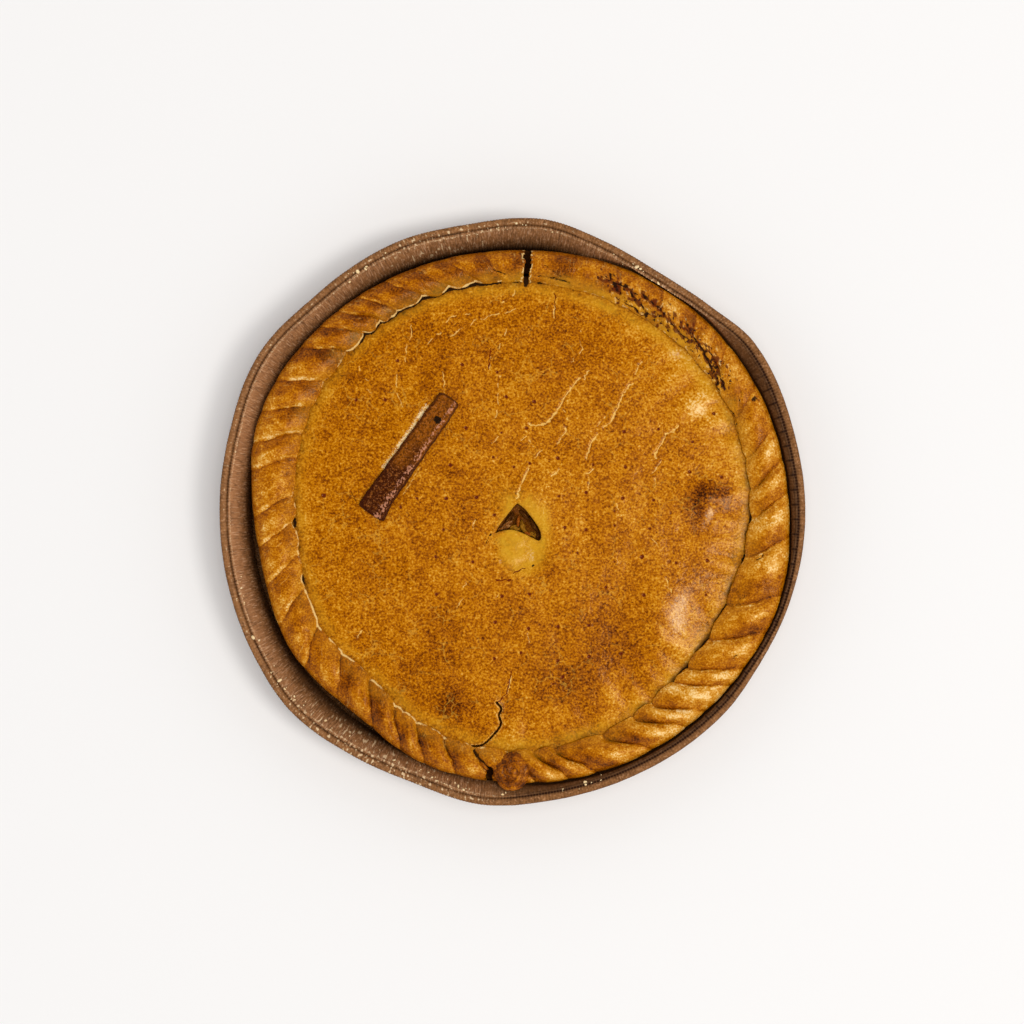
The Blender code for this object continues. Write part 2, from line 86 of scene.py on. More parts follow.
def smoothRows(rows, count):
    # this many rows along a smooth curve through the given ones
    rows = np.array(rows, float)
    padded = np.vstack((2 * rows[0] - rows[1], rows, 2 * rows[-1] - rows[-2]))
    t = np.linspace(0, len(rows) - 1, count)
    i = np.minimum(t.astype(int), len(rows) - 2)
    f = (t - i)[:, None]
    a, b, c, d = padded[i], padded[i + 1], padded[i + 2], padded[i + 3]
    squared = f ** 2 * (a - 2.5 * b + 2 * c - d / 2)
    cubed = f ** 3 * (1.5 * (b - c) + (d - a) / 2)
    return b + f * (c - a) / 2 + squared + cubed


def bell(distance, reach):
    return np.exp(-((distance / reach) ** 2))


def step(low, high, value):
    t = np.clip((value - low) / (high - low), 0, 1)
    return t * t * (3 - 2 * t)


def angleOff(bearing, middle):
    return (bearing - middle + 180) % 360 - 180


def bearingOf(x, y):
    return np.degrees(np.arctan2(x, y)) % 360


def placed(bearing, radius, height):
    angle = np.radians(bearing)
    return np.stack((radius * np.sin(angle), radius * np.cos(angle), height + 0 * angle), axis=-1)


def bumps(points, size, seed):
    # soft lumps of about this size, from -1 to 1
    return np.array([noise.noise(Vector(p)) for p in points / size + seed])


def distanceTo(route, x, y):
    # distance to a line through the points of a route
    best = np.full(np.shape(x), 1.0)
    for (x0, y0), (x1, y1) in zip(route, route[1:]):
        dx, dy = x1 - x0, y1 - y0
        t = np.clip(((x - x0) * dx + (y - y0) * dy) / (dx * dx + dy * dy), 0, 1)
        best = np.minimum(best, np.hypot(x - x0 - t * dx, y - y0 - t * dy))
    return best


def nearest(spots, x, y):
    # distance to the nearest of some spots
    return np.min([np.hypot(x - sx, y - sy) for sx, sy in spots], axis=0)


def inMillimetres(points):
    return [(x * mm, y * mm) for x, y in points]


# The paper mould's outline, soft cornered where the paper has been bent
mould = {
    "outline": (
        (6, 0.1510), (18, 0.1469), (31, 0.1439), (44, 0.1464), (55, 0.1516), (75, 0.1503),
        (92, 0.1505), (122, 0.1490), (132, 0.1500), (155, 0.1490), (172, 0.1492), (186, 0.1508),
        (200, 0.1477), (214, 0.1495), (228, 0.1528), (240, 0.1516), (262, 0.1500), (285, 0.1505),
        (302, 0.1531), (317, 0.1500), (338, 0.1505), (351, 0.1492),
    ),
    "radius": 0.150,
    "height": 0.030,
    "paper": 0.0008,
    "floorRadius": 0.1395,
    "lipOut": 0.1454,  # outer and inner face of the wall's lip
    "lipIn": 0.1446,
    "bandTop": 0.0297,
    "bandFoot": 0.0276,
    "pressed": (112, 30, 0.0010),  # bearing, width and depth of the push from the pie
    "pushed": (112, 13, 0.0009),  # the pie's own swelling there
    # the inner face's distance in from the lip, and its height: it leans in where the pie leaves room
    "lean": (
        (0, 0.0297), (0.0010, 0.0288), (0.0030, 0.0262), (0.0050, 0.0232), (0.0066, 0.0200), (0.0076, 0.0165),
        (0.0082, 0.0120), (0.0086, 0.0070), (0.0088, 0.0024),
    ),
    "clearance": 0.0012,
    "steps": 2400,
    "flutes": 600,
    "fluteDepth": 0.00020,
    "cadColumns": 96,
    "cadShare": 0.96,  # of the outline's bends, which the solid has where it is widest
}
rimAt = roundCurve(mould["outline"])

# The solids stand with the middle of the mould's box at the origin
columnBearings = np.arange(mould["cadColumns"]) * 360 / mould["cadColumns"]
widest = mould["radius"] + mould["cadShare"] * (rimAt(columnBearings) - mould["radius"])
widestPoints = placed(columnBearings, widest, 0.0)
pieShift = -(widestPoints.min(axis=0) + widestPoints.max(axis=0)) / 2

crust = {
    "edge": (
        (0, 0.1345), (30, 0.1385), (60, 0.1410), (90, 0.1425), (110, 0.1450), (130, 0.1432),
        (160, 0.1413), (185, 0.1388), (200, 0.1370), (217, 0.1315), (238, 0.1340), (258, 0.1315),
        (272, 0.1335), (290, 0.1388), (318, 0.1370), (335, 0.1352),
    ),
    "seam": (
        (0, 0.1180), (30, 0.1200), (60, 0.1230), (90, 0.1225), (112, 0.1197), (137, 0.1202),
        (155, 0.1228), (185, 0.1222), (204, 0.1178), (222, 0.1115), (238, 0.1147), (262, 0.1112),
        (280, 0.1136), (310, 0.1177), (335, 0.1186),
    ),
    "edgeRadius": 0.137,
    "seamRadius": 0.117,
    "heart": (0.127, 0.023),
    "foot": 0.0011,
    "floor": 0.0041,
    "folds": (
        3.5, 14, 24, 34, 43, 52, 62.5, 72, 79, 86, 95, 107, 115.5, 124, 128.5, 136, 141, 149.5, 162, 168,
        175, 184.8, 192, 199, 205, 213, 223, 233, 244, 253, 262, 269, 279, 285, 292, 299, 308, 314, 319,
        324, 331, 338, 345, 354,
    ),
    "slant": (
        (3.5, 0), (30, 4), (62, 5), (90, 5.5), (130, 8), (158, 8), (186, 4.5), (215, 7), (262, 5), (345, 6),
    ),
    "columns": 28,  # of faces in each fold
    "crowding": 0.6,
    "roundness": 0.62,
    "unevenness": 0.0007,
    "rhythm": 2.4,
    "gaps": (
        {
            "bearing": 3.5, "inner": 0.114, "outer": 0.142, "width": 0.0031, "floor": 0.0240,
            "taper": (0.9, 1.2), "torn": 1.0,
        },
        {
            "bearing": 184.8, "inner": 0.131, "outer": 0.146, "width": 0.0028, "floor": 0.0220,
            "taper": (0.8, 1.7), "torn": 0.25,
        },
    ),
}
edgeAt = roundCurve(crust["edge"])
seamAt = roundCurve(crust["seam"])
slantAt = roundCurve(crust["slant"])

lid = {
    "edgeHeight": 0.0270,
    "thickness": 0.0030,
    "dome": 0.0060,
    "domePower": 2.2,
    "border": 0.0022,
    "lap": 0.0030,
    # at some other counts the sheet gets edges that aren't manifold
    "cells": 210,
    "detailReach": (1.8 * mm, 0.9 * mm),  # cells this close to a mark are split once, and then once more
    "ventCut": 20 * mm,  # the vent is cut within this distance of the middle
    "ventReach": 30 * mm,  # and its border is found within this one
    "wallLevels": (0.35, 0.7, 1.0),  # shares of the thickness where the vent's wall has a ring
    # the lower face's rings: shares of the way from the vent to the outer edge, as seen from a point in the
    # vent
    "underRings": (0.02, 0.05, 0.08, 0.12, 0.16, 0.20, 0.26, 0.34, 0.44, 0.56, 0.68, 0.80, 0.90, 0.985),
    "ventEye": (0.0040, 0.00025),
    # x, y, reach and rise of its swellings and hollows
    "swells": (
        (0.1004, 0.0061, 0.0110, 0.0015), (0.0860, -0.0500, 0.0200, 0.0012),
        (0.0082, -0.0225, 0.0080, -0.0024), (0.0040, 0.0060, 0.0140, 0.0008),
        (-0.0292, -0.0988, 0.0140, 0.0008), (0.0450, 0.0830, 0.0300, 0.0008),
        (-0.0570, -0.0450, 0.0350, -0.0005), (-0.0830, 0.0420, 0.0250, -0.0006),
    ),
    # the steam vent's outline, clockwise from its upper point
    "vent": inMillimetres((
        (2.7, 4.4), (4.6, 3.2), (7.2, 0.9), (9.6, -2.2), (11.8, -5.2), (13.4, -7.6), (14.7, -10.4),
        (15.0, -13.2), (14.2, -14.9), (12.4, -14.3), (9.4, -12.7), (6.6, -11.3), (4.1, -10.2), (1.6, -9.4),
        (-0.5, -9.0), (-2.6, -9.2), (-4.6, -9.5), (-6.4, -10.0), (-8.6, -10.8), (-7.4, -8.6), (-6.2, -6.4),
        (-4.0, -3.4), (-1.6, -0.4), (0.8, 2.6),
    )),
    # fine pale cracks in the egg wash
    "fineCracks": [inMillimetres(route) for route in (
        ((-59, 71), (-59.5, 65), (-58.5, 60), (-56.5, 55), (-53, 50.5)),
        ((-51.5, 97), (-51.5, 90.5), (-54, 84.5), (-54.5, 77)),
        ((-78.5, 75), (-76.5, 69.5), (-73.5, 67.5)),
        ((-75, 63.5), (-72, 61)),
        ((-35.5, 71.5), (-34.5, 66), (-35, 61)),
        ((-43.5, 86), (-39, 90.5), (-36.5, 92), (-35.5, 95.5), (-31.5, 99.5), (-28, 101), (-21.5, 101.5)),
        ((-31.5, 90), (-27.5, 92.5), (-24.5, 95), (-21.5, 95.5), (-18, 99.5), (-14.5, 98.5), (-10, 101),
         (-3.5, 102), (1.5, 104)),
        ((2, 117), (1.5, 113), (-1.5, 109), (-5.5, 107.5)),
        ((22.5, 110), (21, 99.5)),
        ((-2, 95.5), (-3.5, 90.5)),
        ((-6, 89), (-6.5, 83)),
        ((-6, 70), (-7.5, 62.5), (-7, 55), (-8.5, 48)),
        ((-11, 79.5), (-11.5, 73), (-10, 70.5)),
        ((17.5, 90.5), (18, 84)),
        ((35, 93), (35, 87), (36.5, 83), (33, 79.5), (29.5, 75.5)),
        ((39, 73.5), (37, 67.5)),
        ((26, 52), (29.5, 47)),
        ((7.5, 39), (4.5, 36)),
        ((9, 37), (11, 31.5)),
        ((15, 31.5), (11, 26)),
        ((-7, 38.5), (-10, 35)),
        ((-19, -4), (-20, -9)),
        ((41.5, 21.5), (38.5, 19.5), (37, 17.5)),
        ((39, 18.5), (39.5, 11.5)),
        ((77.5, 29), (76, 25.5), (74, 22.5), (72, 19.5), (70.5, 18)),
        ((73.5, 20.5), (73.5, 15.5), (73, 10)),
        ((54, 3.5), (54.5, -4)),
        ((85.5, -7.5), (85, -10)),
        ((71.5, -13.5), (75, -18)),
        ((-23, -36), (-25, -39)),
        ((-24, -41.5), (-28, -49)),
        ((-7, -42.5), (-8, -46.5)),
        ((10, -44), (12.5, -51)),
        ((8.5, -61.5), (8.5, -66.5)),
        ((79, -33.5), (80, -38.5), (81.5, -41)),
        ((-77, -60.5), (-80, -65.5)),
        ((48, 49), (45, 46.5), (43.5, 43)),
        ((-4.0, -95), (-1.4, -90), (-0.4, -86), (0.1, -81)),
    )],
    # wider ones, where the dough under the wash shows
    "wideCracks": [inMillimetres(route) for route in (
        ((35, 68.5), (31.5, 65), (27.5, 60), (25.5, 55.5), (22.5, 51), (18.5, 46), (14.5, 44), (9, 45)),
        ((66.5, 77), (63, 70.5)),
        ((62, 65.5), (58, 62.5), (55.5, 57.5), (53, 52), (52, 48.5), (49, 44.5), (47, 43)),
        ((43.5, 39.5), (41.5, 36.5), (40, 33.5), (39, 30), (38, 26.5)),
        ((27.5, 43.5), (27.5, 41), (24.5, 37), (23.5, 34.5)),
        ((24, 22), (20.5, 18.5)),
        ((8.5, 22.5), (7, 19), (5.5, 15.5), (3.5, 12.5), (3, 7.5)),
        ((85.5, 44.5), (82.5, 41), (79.5, 40), (78, 37), (75.5, 33.5), (73.5, 30), (73.5, 27.5)),
    )],
    "fineWidth": 0.00027,
    "wideWidth": 0.00044,
    # creases and splits of the surface, painted dark as shade
    "creases": [inMillimetres(route) for route in (
        ((-12, -13), (-13.4, -16.5)), ((-82.2, 9.9), (-79.4, 4.6)),
    )],
    # thin red-brown ones
    "redLines": [inMillimetres(route) for route in (
        ((0.5, -31.2), (3.5, -30.4), (6.5, -28.8)), ((-7.8, -34.8), (-1, -34.6)),
        ((21.9, 112.5), (22.2, 106), (22.0, 99.5)),
        ((-7.6, -97.5), (-5.9, -96.7), (-2.7, -91.8), (-1.0, -87.7), (-0.6, -81.9)), ((-11, 84), (-12, 73)),
    )],
    "holes": inMillimetres(((-11.1, -11.6), (10.8, -27.8), (107, 1.5))),
    # the open crack that runs in from the rosette
    "crack": smoothRows(inMillimetres((
        (-20.5, -120.3), (-17.4, -120.1), (-14.3, -119.1), (-11.0, -115.9), (-7.9, -112.6), (-6.4, -110.2),
        (-5.7, -108), (-6.3, -106), (-6.8, -103.9), (-5.7, -101.6), (-5.9, -100.1), (-8.0, -97.5),
    )), 45),
    "crackWidth": 0.0012,
    "crackDepth": 0.0016,
    # marks of the fork that pricked the dough
    "pricks": inMillimetres((
        (-58.5, 77.5), (-25.5, 75.5), (-65, 57.5), (-80, 57.5), (-3, 59), (11.5, 56.5), (-7.5, 71.5),
        (-23.5, 43), (-5.5, 40.5), (7.5, 43), (-9.5, 28), (-31.5, 24), (-33.5, 7), (-18, 7.5), (-9, -1.5),
        (-35, -9), (-39, -23), (-20, -25.5), (1, 23), (9, 25), (23.5, 27.5), (24, 8), (38, 10), (41.5, 24),
        (58, 23), (56.5, 7), (52.5, 0.5), (52.5, -7), (38, -9), (27, -8), (33.5, -21), (52.5, -25.5),
        (66.5, -23), (84, -26), (48, -38.5), (67.5, -42.5), (99.5, -42.5), (100, -25), (72.5, 6),
        (70.5, -8.5), (75, 42.5), (57.5, 41), (92.5, 36), (91, 20.5), (107.5, 18), (103.5, 50.5),
        (-8.5, -56.5), (9, -42), (-5, -43), (23.5, -58.5), (39.5, -58), (8.5, -59.5), (-9, -75),
        (23.5, -76), (39.5, -74), (56, -72.5), (26, -84.5), (21, -88), (4.5, -72), (-38.5, -42),
        (-96.5, 8.5), (-48.5, 7), (-57, 2.5),
    )),
    "prickRadius": 0.00095,
    "prickDepth": 0.0004,
    # small swellings: x, y, reach along x and y, and rise, in millimetres. The first one shines, and the last
    # is the folded tongue beside the vent
    "humps": ((75, -57, 11, 22, 1.7), (101, 9, 5, 5, 0.7), (3, -18, 7.5, 6, 1.6)),
    # lines along the dark strip: a low ridge, the chalky line on one side, and pale cracks near its lower end
    "stripRidge": inMillimetres(((-45, 54.5), (-56, 38.5), (-66.5, 24))),
    "stripSide": inMillimetres(((-43.6, 54.2), (-49.5, 45.5), (-55.4, 37.2), (-65.8, 22.6))),
    "stripLow": inMillimetres(((-47.2, 23.0), (-51.2, 15.8), (-56, 8.6))),
    "stripEnd": inMillimetres(((-77.8, 3.6), (-73, -1.6), (-67.6, -4.6))),
    "halo": (6.2, -12, 12.8, 19.5),  # yellow dough round the vent: its middle and reach, in millimetres
}


def lidTop(x, y):
    # the even height of the lid's upper face, as the solid has it
    outwards = np.minimum(1.0, np.hypot(x, y) / (seamAt(bearingOf(x, y)) - lid["border"]))
    swells = sum(rise * bell(np.hypot(x - sx, y - sy), reach) for sx, sy, reach, rise in lid["swells"])
    return lid["edgeHeight"] + lid["dome"] * (1 - outwards ** lid["domePower"]) + swells * (1 - outwards ** 8)


def rolledMesh(name, profile, steps):
    # rolls a grid up into a closed round mesh. Its rows are (radius, height) points, lower pole first, and
    # each vertex keeps its row
    bm = bmesh.new()
    rowLayer = bm.verts.layers.int.new("row")
    last = len(profile) - 1
    bmesh.ops.create_grid(bm, x_segments=steps, y_segments=last, size=0.5)
    for vertex in bm.verts:
        row = round((vertex.co.y + 0.5) * last)
        angle = math.tau * round((vertex.co.x + 0.5) * steps) / steps
        vertex[rowLayer] = row
        radius = profile[row][0]
        vertex.co = (radius * math.sin(angle), radius * math.cos(angle), profile[row][1])
    bmesh.ops.remove_doubles(bm, verts=bm.verts, dist=1e-6)
    return toMesh(name, bm)


def toMesh(name, bm):
    bm.normal_update()
    bmesh.ops.recalc_face_normals(bm, faces=bm.faces)
    mesh = bpy.data.meshes.new(name)
    bm.to_mesh(mesh)
    bm.free()
    return mesh


def pointsOf(mesh):
    flat = np.empty(len(mesh.vertices) * 3, np.float32)
    mesh.vertices.foreach_get("co", flat)
    return flat.reshape(-1, 3).astype(float)


def layerOf(mesh, name, kind):
    values = np.empty(len(mesh.vertices), kind)
    mesh.attributes[name].data.foreach_get("value", values)
    return values


def finishPiece(mesh, points, material, marks, node=None, skin=None):
    # puts the points in place, keeps the marks that the material reads, and lets the piece ride
    inBox = np.clip(points + pieShift, np.array(cadBox[0]) + 1e-5, np.array(cadBox[1]) - 1e-5)
    mesh.vertices.foreach_set("co", inBox.astype(np.float32).ravel())
    for name, values in marks.items():
        layer = mesh.attributes.new(name, "FLOAT", "POINT")
        layer.data.foreach_set("value", np.broadcast_to(values, len(points)).astype(np.float32))
    if skin is not None:  # the way along and across the folds, for streaks that follow them
        layer = mesh.attributes.new("skin", "FLOAT_VECTOR", "POINT")
        layer.data.foreach_set("vector", skin.astype(np.float32).ravel())
    mesh.update()
    mesh.shade_smooth()
    mesh.materials.append(material)
    piece = bpy.data.objects.new(mesh.name, mesh)
    scene.collection.objects.link(piece)
    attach(piece, body)
    if node:
        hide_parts(node)
    print(mesh.name, "made:", len(mesh.polygons), "faces")
    return piece


def toLinear(hexColour):
    parts = [int(hexColour[i:i + 2], 16) / 255 for i in (0, 2, 4)]
    return [p / 12.92 if p <= 0.04045 else ((p + 0.055) / 1.055) ** 2.4 for p in parts] + [1.0]


def addNode(tree, kind, inputs=None, **settings):
    # adds a node; each input is a value, or the output that feeds it
    node = tree.nodes.new("ShaderNode" + kind)
    for name, value in settings.items():
        setattr(node, name, value)
    for name, value in (inputs or {}).items():
        if isinstance(value, bpy.types.NodeSocket):
            tree.links.new(value, node.inputs[name])
        else:
            node.inputs[name].default_value = value
    return node


def newMaterial(name, look):
    material = bpy.data.materials.new(name)
    material.use_nodes = True
    tree = material.node_tree
    shader = tree.nodes["Principled BSDF"]
    shader.inputs["Roughness"].default_value = look["roughness"]
    shader.inputs["Specular IOR Level"].default_value = look["gloss"]
    shader.inputs["Specular Tint"].default_value = toLinear(look["sheen"])
    place = addNode(tree, "TexCoord").outputs["Object"]
    return material, tree, shader, place


raggedness = 0.8  # how strongly noise frays the edge of a mark


def paintLayers(tree, place, colour, layers):
    # lays colours over one another. A layer is the name of a mark, a mark and the size of its ragged edge
    # with the values where it fades in and is full, or the same for patches of noise alone; then its strength
    # and colour
    for where, strength, hexColour in layers:
        if isinstance(where, str):
            mask = addNode(tree, "Attribute", attribute_name=where).outputs["Fac"]
        elif isinstance(where[0], str):
            mark, size, low, high = where
            mask = addNode(tree, "Attribute", attribute_name=mark).outputs["Fac"]
            cloud = addNode(tree, "TexNoise", {"Vector": place, "Scale": 1 / size, "Detail": 2.0}).outputs[0]
            frayed = {0: cloud, 1: raggedness, 2: mask}
            mask = addNode(tree, "Math", frayed, operation="MULTIPLY_ADD").outputs[0]
            fade = {0: mask, 1: low + raggedness / 2, 2: high + raggedness / 2}
            mask = addNode(tree, "MapRange", fade, interpolation_type="SMOOTHSTEP").outputs[0]
        else:
            size, low, high = where
            cloud = addNode(tree, "TexNoise", {"Vector": place, "Scale": 1 / size, "Detail": 3.0}).outputs[0]
            fade = {0: cloud, 1: low, 2: high}
            mask = addNode(tree, "MapRange", fade, interpolation_type="SMOOTHSTEP").outputs[0]
        scaled = {0: mask, 1: strength}
        amount = addNode(tree, "Math", scaled, operation="MULTIPLY", use_clamp=True).outputs[0]
        mixed = addNode(tree, "Mix", {0: amount, 6: colour, 7: toLinear(hexColour)}, data_type="RGBA")
        colour = mixed.outputs[2]
    return colour


def chainBumps(tree, shader, heights):
    # bumps that lie on one another, the largest first: each is an output and its height
    normal = None
    for output, rise in heights:
        bump = addNode(tree, "Bump", {"Height": output, "Strength": 1.0, "Distance": rise})
        if normal:
            tree.links.new(normal, bump.inputs["Normal"])
        normal = bump.outputs[0]
    tree.links.new(normal, shader.inputs["Normal"])


def alongFolds(tree, size, stretch):
    # the skin in steps of this size, drawn out along the folds or flutes
    skin = addNode(tree, "Attribute", attribute_name="skin").outputs["Vector"]
    scale = (1 / size, 1 / size, 1 / size / stretch)
    return addNode(tree, "Mapping", {"Vector": skin, "Scale": scale}).outputs[0]


def mottledMaterial(name, look):
    # two tones that change softly into each other, with layers over them. Where the look has streaks, they
    # come next, and more layers over them
    material, tree, shader, place = newMaterial(name, look)
    cloud = {"Vector": place, "Scale": 1 / look["mottle"], "Detail": look["detail"]}
    tones = {
        0: addNode(tree, "TexNoise", cloud).outputs[0],
        6: toLinear(look["dark"]),
        7: toLinear(look["light"]),
    }
    colour = addNode(tree, "Mix", tones, data_type="RGBA").outputs[2]
    colour = paintLayers(tree, place, colour, look["layers"])
    if "streaks" in look:
        wall = addNode(tree, "Attribute", attribute_name="wall").outputs["Fac"]
        for size, stretch, low, high, strength, hexColour in look["streaks"]:
            drawnOut = {"Vector": alongFolds(tree, size, stretch), "Scale": 1.0, "Detail": 2.0}
            streak = addNode(tree, "TexNoise", drawnOut).outputs[0]
            mask = addNode(tree, "MapRange", {0: streak, 1: low, 2: high, 4: strength}).outputs[0]
            mask = addNode(tree, "Math", {0: mask, 1: wall}, operation="MULTIPLY").outputs[0]
            mixed = addNode(tree, "Mix", {0: mask, 6: colour, 7: toLinear(hexColour)}, data_type="RGBA")
            colour = mixed.outputs[2]
        colour = paintLayers(tree, place, colour, look["lastLayers"])
    tree.links.new(colour, shader.inputs["Base Color"])
    relief = []
    for size, rise in look["relief"]:
        lumps = addNode(tree, "TexNoise", {"Vector": place, "Scale": 1 / size, "Detail": 2.0})
        relief.append((lumps.outputs[0], rise))
    chainBumps(tree, shader, relief)
    return material


def bakedDough(name, look):
    # Egg-washed bread dough, baked. The wash dries to a satin skin that browns unevenly: in wide clouds, in
    # specks as fine as flour, and along the folds where the dough was stretched. One scale of browning, from
    # burnt to raw, colours it all
    material, tree, shader, place = newMaterial(name, look)
    degree = look["middle"] - sum(cloud[1] for cloud in look["clouds"]) / 2
    heights = []
    parts = []
    for size, strength, detail, stretch, rise in look["clouds"]:
        cloud = {"Vector": place, "Scale": 1 / size, "Detail": detail, "Roughness": 0.6}
        if stretch:
            cloud["Vector"] = alongFolds(tree, size, stretch)
            cloud["Scale"] = 1.0
        output = addNode(tree, "TexNoise", cloud).outputs[0]
        parts.append((output, strength))
        if rise:
            heights.append((output, rise))
    # the pale and brown marks move it along the scale, and in places they carry painted highlights and
    # painted shade
    for mark, strength in (("pale", 1.0), ("brown", -1.0)):
        parts.append((addNode(tree, "Attribute", attribute_name=mark).outputs["Fac"], strength))
    for output, strength in parts:
        added = {0: output, 1: strength, 2: degree}
        degree = addNode(tree, "Math", added, operation="MULTIPLY_ADD").outputs[0]
    ramp = addNode(tree, "ValToRGB", {0: degree})
    while len(ramp.color_ramp.elements) < len(look["browning"]):
        ramp.color_ramp.elements.new(0.5)
    for element, (at, hexColour) in zip(ramp.color_ramp.elements, look["browning"]):
        element.position = at
        element.color = toLinear(hexColour)
    colour = ramp.outputs[0]
    if "hairlines" in look:  # where the dried wash has split as the dough rose
        size, width, strength, hexColour = look["hairlines"]
        warp = addNode(tree, "TexNoise", {"Vector": place, "Scale": 3 / size, "Detail": 3.0}).outputs["Color"]
        warped = {0: warp, 1: (0.5 * size, 0.5 * size, 0.5 * size), 2: place}
        bent = addNode(tree, "VectorMath", warped, operation="MULTIPLY_ADD").outputs[0]
        cells = addNode(tree, "TexVoronoi", {"Vector": bent, "Scale": 1 / size}, feature="DISTANCE_TO_EDGE")
        line = addNode(tree, "MapRange", {0: cells.outputs[0], 1: width / size, 2: 0.0}).outputs[0]
        where = addNode(tree, "TexNoise", {"Vector": place, "Scale": 0.7 / size, "Detail": 2.0}).outputs[0]
        patch = addNode(tree, "MapRange", {0: where, 1: 0.48, 2: 0.62, 4: strength}).outputs[0]
        mask = addNode(tree, "Math", {0: line, 1: patch}, operation="MULTIPLY").outputs[0]
        mixed = addNode(tree, "Mix", {0: mask, 6: colour, 7: toLinear(hexColour)}, data_type="RGBA")
        colour = mixed.outputs[2]
    if "wrinkles" in look:  # fine pale ridges where the dough was pulled as it was twisted
        size, stretch, width, strength, hexColour, rise = look["wrinkles"]
        drawnOut = {"Vector": alongFolds(tree, size, stretch), "Scale": 1.0, "Detail": 2.0}
        cloud = addNode(tree, "TexNoise", drawnOut).outputs[0]
        off = addNode(tree, "Math", {0: cloud, 1: 0.5}, operation="SUBTRACT").outputs[0]
        off = addNode(tree, "Math", {0: off}, operation="ABSOLUTE").outputs[0]
        line = addNode(tree, "MapRange", {0: off, 1: width, 2: 0.0}).outputs[0]
        patches = {"Vector": place, "Scale": 1 / (1.6 * size), "Detail": 3.0}
        where = addNode(tree, "TexNoise", patches).outputs[0]
        patch = addNode(tree, "MapRange", {0: where, 1: 0.50, 2: 0.66, 4: strength}).outputs[0]
        drawn = addNode(tree, "Attribute", attribute_name="drawn").outputs["Fac"]
        patch = addNode(tree, "Math", {0: patch, 1: drawn}, operation="MULTIPLY").outputs[0]
        mask = addNode(tree, "Math", {0: line, 1: patch}, operation="MULTIPLY").outputs[0]
        mixed = addNode(tree, "Mix", {0: mask, 6: colour, 7: toLinear(hexColour)}, data_type="RGBA")
        colour = mixed.outputs[2]
        heights.append((mask, rise))
    colour = paintLayers(tree, place, colour, look["layers"])
    tree.links.new(colour, shader.inputs["Base Color"])
    matt = addNode(tree, "Attribute", attribute_name="matt").outputs["Fac"]
    rough = addNode(tree, "MapRange", {0: matt, 3: look["roughness"], 4: 0.85}).outputs[0]
    tree.links.new(rough, shader.inputs["Roughness"])
    chainBumps(tree, shader, heights)
    return material


# Each cloud of a dough is its size, its strength on the scale of browning, its detail, how far it is drawn
# out along the folds, and the height of the bumps that go with it
bakedLid = bakedDough("egg_washed_dough_lid", {
    "roughness": 0.25,
    "gloss": 0.24,
    "sheen": "FFE6BC",  # the wash is amber, and so is its shine
    "middle": 0.46,
    "clouds": (
        (19 * mm, 0.34, 3.0, 0, 0),
        (6.0 * mm, 0.36, 3.0, 0, 0.30 * mm),
        (2.2 * mm, 0.42, 2.0, 0, 0.08 * mm),
        (1.1 * mm, 0.95, 1.5, 0, 0.05 * mm),
    ),
    "browning": (
        (0.0, "2A0E02"), (0.18, "632C00"), (0.36, "8E4C00"), (0.50, "AC6400"), (0.64, "C27C08"),
        (0.82, "D69C34"), (0.98, "EAC27C"),
    ),
    "hairlines": (11 * mm, 0.35 * mm, 0.45, "DCA83C"),
    "layers": (
        ("raw", 0.85, "CC9A22"),
        # painted highlights
        (("shine", 0.9 * mm, 0.30, 0.90), 0.60, "F4D8B4"),
        (("chalk", 0.62 * mm, 0.46, 0.66), 0.90, "F2DCAC"),
        (("crack", 0.62 * mm, 0.32, 0.82), 0.88, "EABE66"),
        (("prick", 0.7 * mm, 0.25, 0.65), 0.92, "5E1000"),
        # painted shadow in the seam, with some grease
        ("olive", 0.85, "3A2400"),
        # painted shade in the cracks, holes, open seams and creases
        (("dark", 1.2 * mm, 0.40, 0.60), 0.98, "1C0A02"),
        ("crumb", 0.9, "8E6A1E"),
    ),
})

bakedRope = bakedDough("egg_washed_dough_rope", {
    "roughness": 0.30,
    "gloss": 0.28,
    "sheen": "FFDFB4",
    "middle": 0.50,
    "clouds": (
        (11 * mm, 0.56, 3.0, 0, 0),
        (3.6 * mm, 0.50, 3.0, 0, 0.40 * mm),
        (1.6 * mm, 0.22, 2.0, 2.5, 0.06 * mm),
        (0.9 * mm, 0.60, 1.0, 0, 0.05 * mm),
    ),
    "browning": (
        (0.0, "2A0E02"), (0.18, "5E2A00"), (0.36, "8A4800"), (0.50, "A86000"), (0.63, "C07A0A"),
        (0.78, "D8A040"), (0.92, "EFCB8C"),
    ),
    "layers": (
        ("raw", 0.7, "CE981E"),
        (("cream", 0.7 * mm, 0.32, 0.80), 0.88, "ECCA84"),
        (("scorched", 0.9 * mm, 0.36, 0.70), 0.85, "541604"),
        (("burnt", 0.8 * mm, 0.42, 0.74), 0.95, "1C0804"),
        # painted shade in the creases of the grooves, the slots, the splits and under the rosette
        (("dark", 1.0 * mm, 0.34, 0.66), 0.95, "1C0C02"),
    ),
    # size, how far they are drawn out, width, strength, colour and height
    "wrinkles": (4.2 * mm, 2.6, 0.016, 0.50, "E2B25C", 0.10 * mm),
})

print("dough materials made")


